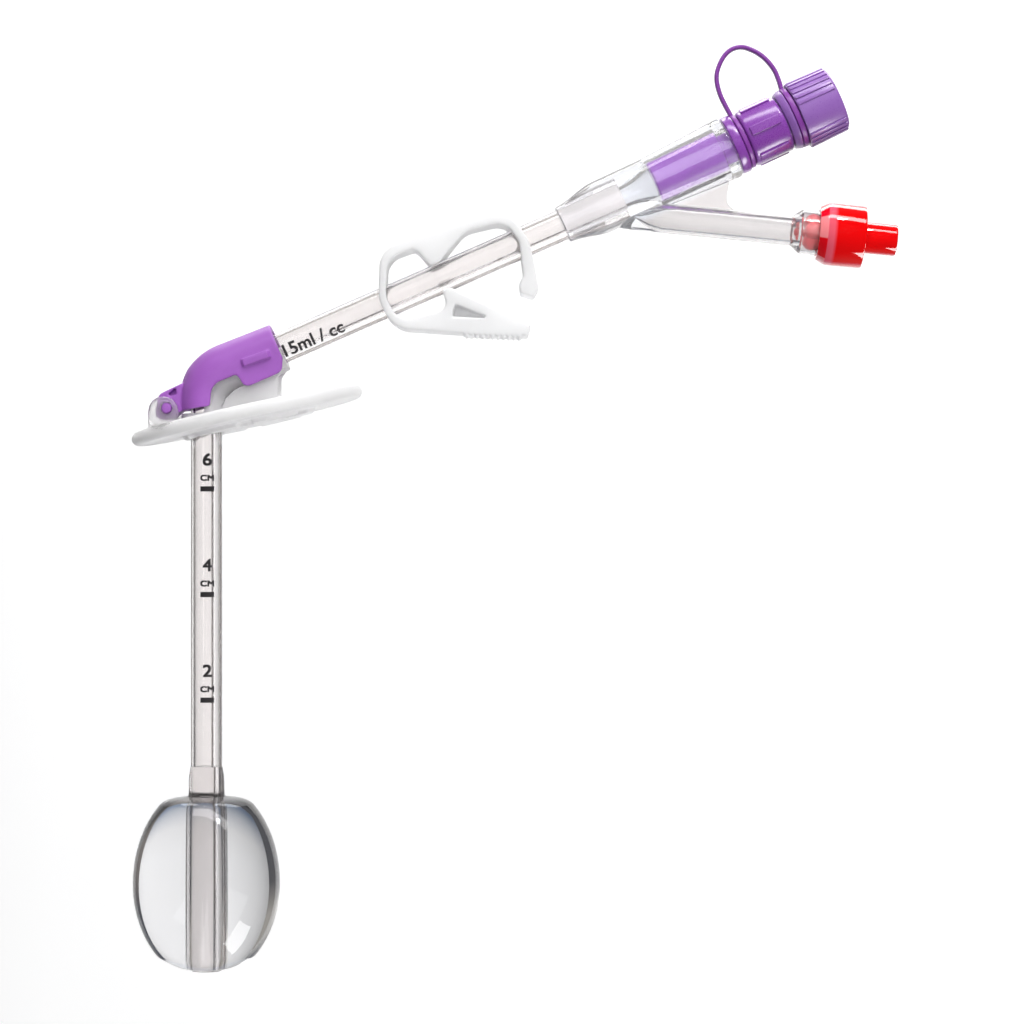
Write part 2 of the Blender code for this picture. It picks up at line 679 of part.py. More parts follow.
def build_hinge_arm(surface):
    """The web from the cover's foot to the hinge, with a round knuckle about the pin."""
    root_u = -COVER_CROWN_AT_FOOT + 0.5 * MM
    corners = [
        (root_u, COVER_FOOT_V + 0.1 * MM, 0),
        (root_u, COVER_FOOT_V + 5.3 * MM, 0),
        (HINGE_U - 1.6 * MM, HINGE_V + 2.7 * MM, 1.2 * MM),
        (HINGE_U - KNUCKLE_RADIUS, HINGE_V, KNUCKLE_RADIUS),
        (HINGE_U - KNUCKLE_RADIUS, HINGE_V - KNUCKLE_RADIUS, KNUCKLE_RADIUS),
        (HINGE_U + 0.6 * MM, HINGE_V - KNUCKLE_RADIUS, KNUCKLE_RADIUS),
    ]
    return prism("arm", rounded_outline(corners), -ARM_WIDTH / 2, ARM_WIDTH / 2, surface)


def build_latch_rib(surface, side):
    middle = slant_point((LATCH_RIB_START + LATCH_RIB_END) / 2, -0.3 * MM)
    turn = Matrix.Rotation(SLANT - math.radians(4), 4, "Z")
    place = Matrix.Translation((middle.x, middle.y, side * COVER_OUTER_SIDE)) @ turn
    size = (LATCH_RIB_END - LATCH_RIB_START, LATCH_RIB_HEIGHT, 2 * LATCH_RIB_RELIEF)
    return box("rib", size, place, surface)


def clamp_square():
    """The grid that the clamp is drawn on: its length is 307 squares."""
    return CLAMP_LENGTH / 307


def clamp_outline():
    """The clamp's one closed outline from its toothed end round, in squares about its tube hole."""
    jaw = (TUBE_RADIUS + GAP) / clamp_square() + 1
    teeth_start = Vector((65, -165))
    teeth_end = Vector((-35, -116))
    run = teeth_end - teeth_start
    peak_step = Vector((run.y, -run.x)).normalized() * -6
    corners = [(89, -153, 4), (75, -170, 4)]
    for tooth in range(CLAMP_TOOTH_COUNT):
        valley = teeth_start + run * (tooth / CLAMP_TOOTH_COUNT)
        peak = teeth_start + run * ((tooth + 0.5) / CLAMP_TOOTH_COUNT) + peak_step
        corners += [(valley.x, valley.y, 0), (peak.x, peak.y, 0)]
    corners += [(teeth_end.x, teeth_end.y, 0), (-154, -54, 55), (-157, 6, 50), (-115, 95, 50)]
    corners += [(137, 72, 55), (150, -10, 60), (131, -94, 6), (115, -107, 5), (95, -90, 5)]
    corners += [(99, -73, 5), (113, -62, 8), (132, 0, 30), (123, 46, 50), (46, 61, 40)]
    corners += [(-21, jaw, 6), (-41, jaw, 6), (-55, 69, 14), (-111, 72, 34), (-142, 6, 40)]
    corners += [(-139, -46, 35), (-39, -62, 22), (-34, -jaw, 6), (-19, -jaw, 6)]
    return rounded_outline(on_grid(corners))


def on_grid(corners):
    square = clamp_square()
    return [(x * square, y * square, radius * square) for x, y, radius in corners]


def build_pinch_clamp(surface):
    face = CLAMP_DEPTH / 2
    clamp = prism("pinch_clamp", clamp_outline(), -face, face, surface)
    along_tube = Matrix.Rotation(math.pi / 2, 4, "Y")
    reach = CLAMP_LENGTH
    hole = cylinder("hole", TUBE_RADIUS + CLAMP_HOLE_GAP, -reach, reach, along_tube, surface)
    combine(clamp, hole, "DIFFERENCE")
    recess = rounded_outline(on_grid([(-27, -59, 3), (-41, -79, 3), (25, -112, 3)]), 2)
    floor = face - CLAMP_RECESS_DEPTH
    combine(clamp, prism("recess", recess, floor, face + OVERCUT, surface), "DIFFERENCE")
    combine(clamp, prism("recess", recess, -face - OVERCUT, -floor, surface), "DIFFERENCE")
    place_mesh(clamp, Matrix.Translation(slant_point(CLAMP_CENTRE)) @ Matrix.Rotation(SLANT, 4, "Z"))
    set_origin(clamp, slant_point(CLAMP_CENTRE))
    return clamp


def hub_axis():
    return along(slant_point(HUB_START), HUB_ANGLE)


def hub_point(distance, across=0.0):
    start = slant_point(HUB_START)
    forward = Vector((math.cos(HUB_ANGLE), math.sin(HUB_ANGLE), 0))
    upward = Vector((-math.sin(HUB_ANGLE), math.cos(HUB_ANGLE), 0))
    return start + forward * distance + upward * across


def branch_axis():
    return along(hub_point(BRANCH_ROOT), BRANCH_ANGLE)


def branch_point(distance, across=0.0):
    forward = Vector((math.cos(BRANCH_ANGLE), math.sin(BRANCH_ANGLE), 0))
    upward = Vector((-math.sin(BRANCH_ANGLE), math.cos(BRANCH_ANGLE), 0))
    return hub_point(BRANCH_ROOT) + forward * distance + upward * across


def build_y_hub(surface):
    profile = [(0, 0)]
    for step in range(6):
        share = step / 5
        eased = share * share * (3 - 2 * share)
        radius = HUB_SLIM_RADIUS + (HUB_WAIST_RADIUS - HUB_SLIM_RADIUS) * eased
        profile.append((radius, HUB_FLARE_LENGTH * share))
    profile += [(HUB_WAIST_RADIUS, HUB_WAIST_END), (HUB_END_RADIUS, HUB_END - HUB_BAND_LENGTH)]
    profile += [(HUB_END_RADIUS, HUB_END - SOFT_EDGE), (HUB_END_RADIUS - SOFT_EDGE, HUB_END), (0, HUB_END)]
    hub = lathe("y_hub", profile, surface, even_angles(HUB_SIDES))
    place_mesh(hub, hub_axis())
    combine(hub, build_branch(surface), "UNION")
    combine(hub, build_web(surface), "UNION")
    combine(hub, build_tube_seat(surface), "DIFFERENCE")
    combine(hub, build_hub_bore(surface), "DIFFERENCE")
    combine(hub, build_branch_duct(surface), "DIFFERENCE")
    return hub


def build_branch(surface):
    socket_start = BRANCH_LENGTH + SOCKET_FLARE
    arm = [(0, 0), (BRANCH_RADIUS * 0.85, 0), (BRANCH_RADIUS, BRANCH_DUCT_START)]
    arm += [(BRANCH_RADIUS, BRANCH_LENGTH), (SOCKET_RADIUS - SOFT_EDGE, socket_start - SOFT_EDGE)]
    arm += [(SOCKET_RADIUS, socket_start), (SOCKET_RADIUS, SOCKET_END), (0, SOCKET_END)]
    branch = lathe("branch", arm, surface, even_angles(BRANCH_SIDES))
    place_mesh(branch, branch_axis())
    return branch


def build_tube_seat(surface):
    """The seat for the tube's end, along the tube's own axis."""
    mouth = slant_distance(HUB_START - OVERCUT)
    floor = slant_distance(TUBE_SLANT_LENGTH + GAP)
    ring = circle(TUBE_RADIUS + SNUG_GAP, HUB_SIDES, turned=math.pi / HUB_SIDES)
    return sweep("seat", [station(mouth), station(floor)], lambda index: [ring], surface)


def build_hub_bore(surface):
    """The passage from the tube's seat to the barrel's socket and out through the wide end."""
    start = TUBE_SLANT_LENGTH - HUB_START - SOFT_EDGE
    socket = BARREL_RADIUS + GAP
    neck = PORT_NECK_RADIUS + GAP
    outside = HUB_END + OVERCUT
    profile = [(0, start), (HUB_PASSAGE_RADIUS, start), (HUB_PASSAGE_RADIUS, BARREL_START - GAP)]
    profile += [(socket, BARREL_START - GAP), (socket, BARREL_END + GAP), (neck, BARREL_END + GAP)]
    profile += [(neck, outside), (0, outside)]
    bore = lathe("bore", profile, surface, even_angles(HUB_SIDES, math.pi / HUB_SIDES))
    place_mesh(bore, hub_axis())
    return bore


def build_branch_duct(surface):
    """The balloon's duct and the socket that holds its valve."""
    socket = SOCKET_RADIUS - SOCKET_WALL
    socket_floor = BRANCH_LENGTH + SOCKET_FLARE
    outside = SOCKET_END + OVERCUT
    profile = [(0, BRANCH_DUCT_START), (BRANCH_BORE_RADIUS, BRANCH_DUCT_START)]
    profile += [(BRANCH_BORE_RADIUS, socket_floor), (socket, socket_floor), (socket, outside), (0, outside)]
    duct = lathe("duct", profile, surface, even_angles(BRANCH_SIDES, math.pi / BRANCH_SIDES))
    place_mesh(duct, branch_axis())
    return duct


def build_web(surface):
    """The thin web in the fork, with a hollow end between the hub and the branch."""
    sunk = WEB_THICKNESS / 2
    upper = hub_point(HUB_END - 2 * HUB_BAND_LENGTH, sunk - HUB_END_RADIUS)
    lower = branch_point(WEB_END, BRANCH_RADIUS - sunk)
    corners = [
        (*hub_point(HUB_WAIST_END, sunk - HUB_WAIST_RADIUS).xy, 0),
        (*branch_point(WEB_END / 2, BRANCH_RADIUS - sunk).xy, 0),
        (*lower.xy, 0),
        (upper.x - 1.0 * MM, lower.y + 2 * sunk, 2.4 * MM),
        (*upper.xy, 0),
    ]
    return prism("web", rounded_outline(corners, 6), -WEB_THICKNESS / 2, WEB_THICKNESS / 2, surface)


def pad_angles():
    """Angles round the collar, with four close to each raised pad and two between pads."""
    angles = []
    pitch = 2 * math.pi / PAD_COUNT
    side = math.radians(1.5)
    for pad in range(PAD_COUNT):
        middle = PAD_START_ANGLE + pad * pitch
        angles += [middle - PAD_HALF_ANGLE - side, middle - PAD_HALF_ANGLE, middle + PAD_HALF_ANGLE]
        angles += [middle + PAD_HALF_ANGLE + side]
        rest = pitch - 2 * PAD_HALF_ANGLE - 2 * side
        angles += [middle + PAD_HALF_ANGLE + side + rest * share / 3 for share in (1, 2)]
    return angles


def on_pad(angle):
    pitch = 2 * math.pi / PAD_COUNT
    offset = (angle - PAD_START_ANGLE + pitch / 2) % pitch - pitch / 2
    return abs(offset) < PAD_HALF_ANGLE + math.radians(0.5)


def build_port_insert(surface):
    pad_low = COLLAR_START + (COLLAR_LENGTH - PAD_LENGTH) / 2
    pad_high = pad_low + PAD_LENGTH
    profile = [(PORT_BORE_RADIUS, BARREL_START), (BARREL_RADIUS, BARREL_START)]
    profile += [(BARREL_RADIUS, BARREL_END), (PORT_NECK_RADIUS, BARREL_END), (PORT_NECK_RADIUS, NECK_END)]
    profile += [(FLANGE_RADIUS - SOFT_EDGE, NECK_END), (FLANGE_RADIUS, NECK_END + SOFT_EDGE)]
    profile += [(FLANGE_RADIUS, FLANGE_END), (TETHER_NECK_RADIUS, FLANGE_END)]
    profile += [(TETHER_NECK_RADIUS, COLLAR_START), (COLLAR_RADIUS - COLLAR_BEVEL, COLLAR_START)]
    profile += [(COLLAR_RADIUS, COLLAR_START + COLLAR_BEVEL), (COLLAR_RADIUS, pad_low)]
    first_pad = len(profile)
    profile += [(COLLAR_RADIUS, pad_low + SOFT_EDGE), (COLLAR_RADIUS, pad_high - SOFT_EDGE)]
    profile += [(COLLAR_RADIUS, pad_high), (COLLAR_RADIUS, COLLAR_END - COLLAR_BEVEL)]
    profile += [(COLLAR_RADIUS - SOFT_EDGE, COLLAR_END), (COLLAR_RADIUS - COLLAR_WALL, COLLAR_END)]
    profile += [(COLLAR_RADIUS - COLLAR_WALL, COLLAR_START + COLLAR_FLOOR)]
    profile += [(PORT_TIP_RADIUS, COLLAR_START + COLLAR_FLOOR), (PORT_TIP_END_RADIUS, PORT_TIP_END)]
    profile += [(PORT_BORE_RADIUS, PORT_TIP_END)]

    def pads(index, angle):
        return PAD_HEIGHT if index in (first_pad, first_pad + 1) and on_pad(angle) else 0.0

    insert = lathe("port_insert", profile, surface, pad_angles(), pads)
    place_mesh(insert, hub_axis())
    return insert


def rib_angles():
    """Angles round the cap: a crest and a root for each rib, and a few between the groups."""
    angles = []
    pitch = 2 * math.pi / CAP_RIB_GROUPS
    group = CAP_RIB_STEP * CAP_RIBS_PER_GROUP
    for index in range(CAP_RIB_GROUPS):
        start = CAP_RIB_START_ANGLE + index * pitch
        angles += [start + CAP_RIB_STEP * half / 2 for half in range(2 * CAP_RIBS_PER_GROUP + 1)]
        angles += [start + group + (pitch - group) * share / 4 for share in (1, 2, 3)]
    return angles


def on_rib(angle):
    pitch = 2 * math.pi / CAP_RIB_GROUPS
    offset = (angle - CAP_RIB_START_ANGLE + 1e-6) % pitch
    if offset > CAP_RIB_STEP * CAP_RIBS_PER_GROUP:
        return False
    return round(offset / (CAP_RIB_STEP / 2)) % 2 == 1


def build_port_cap(surface):
    plug_start = COLLAR_START + COLLAR_FLOOR + GAP
    socket_end = PORT_TIP_END + GAP
    plug_radius = COLLAR_RADIUS - COLLAR_WALL - GAP
    plug_bore = PORT_TIP_RADIUS + GAP
    profile = [(0, socket_end), (plug_bore, socket_end), (plug_bore, plug_start), (plug_radius, plug_start)]
    profile += [(plug_radius, CAP_START), (CAP_FLANGE_RADIUS - 2 * SOFT_EDGE, CAP_START)]
    profile += [(CAP_FLANGE_RADIUS, CAP_START + 2 * SOFT_EDGE), (CAP_FLANGE_RADIUS, CAP_FLANGE_END)]
    profile += [(CAP_NECK_RADIUS, CAP_FLANGE_END), (CAP_NECK_RADIUS, CAP_HEAD_START)]
    first_rib = len(profile)
    profile += [(CAP_HEAD_RADIUS, CAP_HEAD_START), (CAP_HEAD_END_RADIUS, CAP_HEAD_END - SOFT_EDGE)]
    profile += [(CAP_HEAD_END_RADIUS - SOFT_EDGE, CAP_HEAD_END), (0, CAP_HEAD_END)]

    def ribs(index, angle):
        return CAP_RIB_HEIGHT if index in (first_rib, first_rib + 1) and on_rib(angle) else 0.0

    cap = lathe("port_cap", profile, surface, rib_angles(), ribs)
    place_mesh(cap, hub_axis())
    set_origin(cap, hub_point(CAP_START))
    return cap


def smooth_curve(points, steps):
    """Points along a smooth curve that passes through every given point."""
    padded = [2 * points[0] - points[1]] + points + [2 * points[-1] - points[-2]]
    curve = []
    for index in range(1, len(padded) - 2):
        before, start, end, after = padded[index - 1:index + 3]
        for step in range(steps):
            t = step / steps
            bend = 2 * before - 5 * start + 4 * end - after
            twist = 3 * start - before - 3 * end + after
            curve.append(0.5 * (2 * start + (end - before) * t + bend * t ** 2 + twist * t ** 3))
    return curve + [points[-1]]


def build_tether(surface):
    port_inner = TETHER_NECK_RADIUS + GAP
    cap_inner = CAP_NECK_RADIUS + GAP
    port_ring = (port_inner, port_inner + RING_WALL, FLANGE_END + RUNNING_GAP, TETHER_RING_WIDTH)
    cap_ring = (cap_inner, cap_inner + CAP_RING_WALL, CAP_FLANGE_END + RUNNING_GAP, CAP_RING_WIDTH)
    rings = []
    for inner, outer, start, width in (port_ring, cap_ring):
        profile = [(inner, start), (outer, start), (outer, start + width), (inner, start + width)]
        ring = lathe("tether", profile, surface, even_angles(28))
        place_mesh(ring, hub_axis())
        rings.append(ring)
    foot = hub_point(port_ring[2] + TETHER_RING_WIDTH / 2, port_inner + RING_WALL / 2)
    head = hub_point(cap_ring[2] + CAP_RING_WIDTH / 2, cap_inner + RING_WALL / 2)
    top = Vector((foot.x + 1.9 * MM, foot.y + STRAP_RISE, 0))
    route = [
        foot,
        Vector((foot.x - 0.6 * STRAP_LEAN, foot.y + 2.4 * MM, 0)),
        Vector((foot.x - 1.1 * STRAP_LEAN, foot.y + 0.42 * STRAP_RISE, 0)),
        Vector((foot.x - 0.85 * STRAP_LEAN, foot.y + 0.78 * STRAP_RISE, 0)),
        top,
        Vector((0.45 * foot.x + 0.55 * head.x, foot.y + 0.93 * STRAP_RISE, 0)),
        Vector((head.x - 1.9 * MM, head.y + 0.42 * (top.y - head.y) + 1.6 * MM, 0)),
        Vector((head.x - 0.7 * MM, head.y + 2.2 * MM, 0)),
        head,
    ]
    curve = smooth_curve(route, 3)
    places = []
    for index, point in enumerate(curve):
        heading = curve[min(index + 1, len(curve) - 1)] - curve[max(index - 1, 0)]
        places.append((point, math.atan2(heading.y, heading.x)))
    half = STRAP_THICKNESS / 2
    wide = STRAP_WIDTH / 2
    soft = SOFT_EDGE
    section = [(half, wide - soft), (half - soft, wide), (soft - half, wide), (-half, wide - soft)]
    section += [(-half, soft - wide), (soft - half, -wide), (half - soft, -wide), (half, soft - wide)]
    strap = sweep("strap", places, lambda index: [section], surface)
    tether = rings[0]
    combine(tether, strap, "UNION")
    combine(tether, rings[1], "UNION")
    return tether


def build_valve_housing(surface):
    rear_bore = RETAINER_STEM_RADIUS + GAP
    profile = [(rear_bore, VALVE_START), (VALVE_REAR_RADIUS, VALVE_START)]
    profile += [(VALVE_RADIUS, VALVE_START + VALVE_CHAMFER), (VALVE_RADIUS, VALVE_SHOULDER - SOFT_EDGE)]
    profile += [(VALVE_RADIUS - SOFT_EDGE, VALVE_SHOULDER), (INLET_RADIUS, VALVE_SHOULDER)]
    profile += [(INLET_RADIUS, VALVE_END - SOFT_EDGE), (INLET_RADIUS - SOFT_EDGE, VALVE_END)]
    profile += [(INLET_MOUTH_RADIUS, VALVE_END), (INLET_BORE_RADIUS, CHAMBER_END)]
    profile += [(CHAMBER_RADIUS, CHAMBER_END), (CHAMBER_RADIUS, CHAMBER_START), (rear_bore, CHAMBER_START)]
    housing = lathe("valve_housing", profile, surface, even_angles(28))
    place_mesh(housing, branch_axis())
    return housing


def build_valve_retainer(surface):
    """The lobed plug in the socket that closes the valve's rear and carries its spring."""
    outer = SOCKET_RADIUS - SOCKET_WALL - GAP
    lobe_start = SOCKET_END - RETAINER_LENGTH
    lobe_end = VALVE_START - GAP
    profile = [(RETAINER_HOLE_RADIUS, lobe_start), (outer - RETAINER_NOSE, lobe_start)]
    profile += [(outer, lobe_start + RETAINER_NOSE), (outer, lobe_end), (RETAINER_STEM_RADIUS, lobe_end)]
    profile += [(RETAINER_STEM_RADIUS, RETAINER_END), (RETAINER_HOLE_RADIUS, RETAINER_END)]

    def lobes(index, angle):
        share = 0.5 - 0.5 * math.cos(LOBE_COUNT * angle)
        return -LOBE_DEPTH * (1 - share ** 0.5) if index in (1, 2, 3) else 0.0

    retainer = lathe("valve_retainer", profile, surface, even_angles(36), lobes)
    place_mesh(retainer, branch_axis())
    return retainer


def build_valve_plunger(surface):
    guide_end = RETAINER_END + GAP + PLUNGER_TRAVEL
    profile = [(0, guide_end), (PLUNGER_GUIDE_RADIUS, guide_end), (PLUNGER_GUIDE_RADIUS, HEAD_START)]
    profile += [(PLUNGER_HEAD_RADIUS, HEAD_START), (PLUNGER_HEAD_RADIUS, HEAD_END)]
    profile += [(PLUNGER_STEM_RADIUS, HEAD_END), (PLUNGER_STEM_RADIUS, VALVE_END - PLUNGER_RECESS)]
    profile += [(0, VALVE_END - PLUNGER_RECESS)]
    plunger = lathe("valve_plunger", profile, surface, even_angles(24))
    place_mesh(plunger, branch_axis())
    set_origin(plunger, branch_point(HEAD_START))
    return plunger


def build_valve_seal(surface):
    bore = PLUNGER_STEM_RADIUS + GAP
    profile = [(bore, SEAL_START), (SEAL_RADIUS, SEAL_START), (SEAL_RADIUS, SEAL_END), (bore, SEAL_END)]
    seal = lathe("valve_seal", profile, surface, even_angles(24))
    place_mesh(seal, branch_axis())
    set_origin(seal, branch_point(SEAL_START))
    return seal


def build_valve_spring(surface):
    """A helix of round wire between the retainer and the plunger's head."""
    low = RETAINER_END + GAP + SPRING_WIRE_RADIUS
    high = HEAD_START - GAP - SPRING_WIRE_RADIUS
    steps = SPRING_TURNS * SPRING_STEPS_PER_TURN
    builder = bmesh.new()
    rings = []
    for index in range(steps + 1):
        angle = 2 * math.pi * SPRING_TURNS * index / steps
        height = low + (high - low) * index / steps
        ring = []
        for across, rise in circle(SPRING_WIRE_RADIUS, SPRING_WIRE_SIDES):
            reach = SPRING_RADIUS + across
            ring.append(builder.verts.new((reach * math.cos(angle), reach * math.sin(angle), height + rise)))
        rings.append(ring)
    for ring, following in zip(rings, rings[1:]):
        for side in range(SPRING_WIRE_SIDES):
            after = (side + 1) % SPRING_WIRE_SIDES
            builder.faces.new((ring[side], ring[after], following[after], following[side]))
    builder.faces.new(rings[0])
    builder.faces.new(rings[-1])
    spring = add_object("valve_spring", builder, surface)
    place_mesh(spring, branch_axis())
    return spring


def resting_turn():
    """The turn that lays the tube on its balloon, its disc's edge and its valve."""
    disc = Vector((DISC_CENTRE_U, DISC_CENTRE_V, -DISC_DEPTH / 2))
    valve = branch_point(VALVE_START + VALVE_CHAMFER)
    up = Vector((0, 0, 1))
    for _ in range(8):
        balloon_foot = -up * BALLOON_RADIUS
        valve_foot = valve - up * VALVE_RADIUS
        up = (valve_foot - balloon_foot).cross(disc - balloon_foot).normalized()
    return up.rotation_difference(Vector((0, 0, 1)))


def lay_down(parts):
    """Parents every part to one empty, turned to rest, with the whole centred over its base."""
    rest = bpy.data.objects.new("rest", None)
    bpy.context.scene.collection.objects.link(rest)
    rest.rotation_mode = "QUATERNION"
    rest.rotation_quaternion = resting_turn()
    for part in parts:
        part.parent = rest
    bpy.context.view_layer.update()
    corners = [part.matrix_world @ vertex.co for part in parts for vertex in part.data.vertices]
    low = Vector([min(c[i] for c in corners) for i in range(3)])
    high = Vector([max(c[i] for c in corners) for i in range(3)])
    rest.location = (-(low.x + high.x) / 2, -(low.y + high.y) / 2, -low.z)


def build():
    clear_scene()
    clear_silicone = material("clear_silicone", (0.86, 0.87, 0.90), 0.15, 0.45)
    frosted_silicone = material("frosted_silicone", (0.90, 0.90, 0.92), 0.45, 0.7)
    water = material("water", (0.80, 0.88, 0.95), 0.02, 0.3)
    purple = material("purple_plastic", (0.30, 0.06, 0.47), 0.45)
    dark_purple = material("dark_purple_plastic", (0.21, 0.03, 0.33), 0.25)
    light_purple = material("light_purple_plastic", (0.40, 0.24, 0.62), 0.35)
    white = material("white_plastic", (0.92, 0.92, 0.94), 0.35)
    red = material("red_plastic", (0.80, 0.004, 0.006), 0.15)
    pink = material("pink_plastic", (0.85, 0.16, 0.14), 0.3)
    rubber = material("black_rubber", (0.03, 0.03, 0.03), 0.7)
    steel = material("spring_steel", (0.6, 0.6, 0.6), 0.3)
    parts = [
        build_feeding_tube(clear_silicone),
        build_balloon(clear_silicone),
        build_balloon_water(water),
        build_bolster(frosted_silicone),
        build_elbow_cover(purple),
        build_pinch_clamp(white),
        build_y_hub(clear_silicone),
        build_port_insert(dark_purple),
        build_tether(purple),
        build_port_cap(light_purple),
        build_valve_housing(red),
        build_valve_retainer(pink),
        build_valve_plunger(white),
        build_valve_seal(rubber),
        build_valve_spring(steel),
    ]
    lay_down(parts)


build()
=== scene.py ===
"""Looks for the balloon gastrostomy tube: clear silicone, frosted bolster, purple and red fittings.

Pieces are drawn in millimetres in the tube's own flat frame (U right, V up along the shaft, W
towards the eye, with the balloon's centre as origin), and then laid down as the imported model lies.
"""

import json
import math

import bmesh
import bpy
from mathutils import Matrix, Vector


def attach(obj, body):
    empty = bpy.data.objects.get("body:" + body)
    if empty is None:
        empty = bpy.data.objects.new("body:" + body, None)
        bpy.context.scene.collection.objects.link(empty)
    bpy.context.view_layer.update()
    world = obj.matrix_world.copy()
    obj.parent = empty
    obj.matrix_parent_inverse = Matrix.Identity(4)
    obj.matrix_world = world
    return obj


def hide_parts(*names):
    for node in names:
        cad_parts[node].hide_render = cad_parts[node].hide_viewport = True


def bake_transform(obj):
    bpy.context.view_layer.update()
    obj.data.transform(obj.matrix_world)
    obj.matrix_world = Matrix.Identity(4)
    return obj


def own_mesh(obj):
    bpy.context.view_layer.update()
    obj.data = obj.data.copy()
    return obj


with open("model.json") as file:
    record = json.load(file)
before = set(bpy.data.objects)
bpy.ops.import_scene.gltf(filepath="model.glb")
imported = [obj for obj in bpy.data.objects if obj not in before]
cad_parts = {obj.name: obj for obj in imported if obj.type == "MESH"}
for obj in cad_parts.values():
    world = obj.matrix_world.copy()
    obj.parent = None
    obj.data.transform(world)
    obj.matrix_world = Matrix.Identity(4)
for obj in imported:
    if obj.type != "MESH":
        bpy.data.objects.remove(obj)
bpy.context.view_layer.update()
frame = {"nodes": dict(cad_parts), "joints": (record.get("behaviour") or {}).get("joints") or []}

# Sizes of the real tube, in millimetres

# Tube and balloon
TUBE_RADIUS = 3.0
TIP_V = -16.6
CORNER_V = 96.0
BEND_RADIUS = 7.0
SLANT = math.radians(23.7)
SLANT_LENGTH = 86.8
LUMEN_RADIUS = 1.6
LUMEN_OFFSET = 0.42
SMALL_LUMEN_RADIUS = 0.3
SMALL_LUMEN_OFFSET = -2.05
CUFF_TOP_V = 22.4
BALLOON_TOP_V = 16.8
BALLOON_RADIUS = 14.05
BALLOON_RISE = 19.6
BALLOON_DROP = 18.5

# Hinge, bolster and elbow cover
HINGE_U = -7.2
HINGE_V = 90.7
EAR_CENTRE = (HINGE_U - 0.6, HINGE_V - 0.6)
EAR_HALF = 2.85
PIN_RADIUS = 0.95
PIN_HOLE_RADIUS = 1.08
DISC_TILT = math.radians(12.5)
DISC_CENTRE = (7.5, 90.7)
DISC_LENGTH = 45.0
DISC_DEPTH = 38.0
DISC_THICKNESS = 2.6
DISC_ROOT = 1.3
DISC_CHANNELS = 6
NECK_RADIUS = 4.8
TROUGH_INNER = 3.3
TROUGH_OUTER = 4.5
TROUGH_END = 15.6
COVER_FOOT_V = 90.2
COVER_END = 15.4
COVER_INNER_SIDE = 4.8
COVER_OUTER_SIDE = 5.9
COVER_FOOT_CROWN = 4.9
COVER_SWELL = 0.7
COVER_CROWN = 5.6
COVER_TAPER = 0.6
COVER_INNER_CROWN = 4.1
COVER_RIM = -5.1

# Pinch clamp
CLAMP_CENTRE = 52.08
CLAMP_DEPTH = 10.4
CLAMP_TEETH = 11
CLAMP_PLAY = 0.35

# Y end, with its branch and socket
HUB_START = 74.3
HUB_ANGLE = math.radians(24.9)
HUB_END = 35.3
BRANCH_ROOT = 6.4
BRANCH_ANGLE = math.radians(-5.6)
BRANCH_RADIUS = 2.87
BRANCH_LENGTH = 38.2
SOCKET_END = 43.5

# Feeding port and its cap, along the Y end's axis
FLANGE_START = 35.6
FLANGE_END = 37.4
COLLAR_START = 38.6
COLLAR_END = 46.4
COLLAR_PADS = 6
CAP_START = 46.7
CAP_FLANGE_END = 48.1
CAP_HEAD_START = 49.5
CAP_HEAD_END = 57.7
RIB_GROUPS = 3
RIBS_IN_GROUP = 6
RIB_PITCH = 11.6

# Balloon valve, along the branch's axis
VALVE_START = 43.2
VALVE_SHOULDER = 52.0
VALVE_END = 58.3
RETAINER_LOBES = 6

# Printed marks
MARKS_ASIDE = -0.45
INK_LIFT = 0.02
INK_LAYER = 0.003
INK_STRIP = 0.25

# The paper: how far below and how large, in metres, and how strongly it glows with painted light
PAPER_DEPTH = 0.4
PAPER_SIZE = (0.724, 0.98)
PAPER_PAINTED_GLOW = 0.28

# Where the camera stands in the flat frame, in millimetres
CAMERA_PLACE = (58.4, 71.0, 544)

# The bend's start and length, from the corner that the two straight runs would make
BEND_TANGENT = BEND_RADIUS * math.tan((math.pi / 2 - SLANT) / 2)
BEND_START_V = CORNER_V - BEND_TANGENT
BEND_LENGTH = BEND_RADIUS * (math.pi / 2 - SLANT)


def lying_frame():
    """The tube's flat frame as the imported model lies, read from its hinge and its clamp's slide."""
    joints = {joint["name"]: joint for joint in frame["joints"]}
    up = Vector(joints["cover_hinge"]["axis"])
    slide = Vector(joints["clamp_slide"]["axis"])
    left = up.cross(slide)
    u = slide * math.cos(SLANT) - left * math.sin(SLANT)
    v = slide * math.sin(SLANT) + left * math.cos(SLANT)
    turn = Matrix((u, v, up)).transposed().to_4x4()
    hinge = Vector(joints["cover_hinge"]["pos_m"])
    origin = hinge - 0.001 * (turn @ Vector((HINGE_U, HINGE_V, 0)))
    return Matrix.Translation(origin) @ turn @ Matrix.Scale(0.001, 4)


def slant_point(reach, across=0.0):
    """A point along the slanted run, measured from the corner of the tube's course."""
    forward = Vector((math.cos(SLANT), math.sin(SLANT), 0))
    upward = Vector((-math.sin(SLANT), math.cos(SLANT), 0))
    return Vector((0, CORNER_V, 0)) + forward * reach + upward * across


def turned(point, angle):
    """A frame at a point whose X runs at an angle from U and whose Z is W."""
    return Matrix.Translation(point) @ Matrix.Rotation(angle, 4, "Z")


FLAT = Matrix.Identity(4)
SLANTED = turned(slant_point(0), SLANT)
HUB = turned(slant_point(HUB_START), HUB_ANGLE)
BRANCH = turned(HUB @ Vector((BRANCH_ROOT, 0, 0)), BRANCH_ANGLE)
DISC = turned(Vector((*DISC_CENTRE, 0)), DISC_TILT) @ Matrix.Rotation(-math.pi / 2, 4, "X")
AXLE = Matrix.Rotation(-math.pi / 2, 4, "Z") @ Matrix.Rotation(-math.pi / 2, 4, "X")
SHAFT = turned(Vector((0, 0, 0)), math.pi / 2) @ AXLE
LYING = lying_frame()


# Shapes


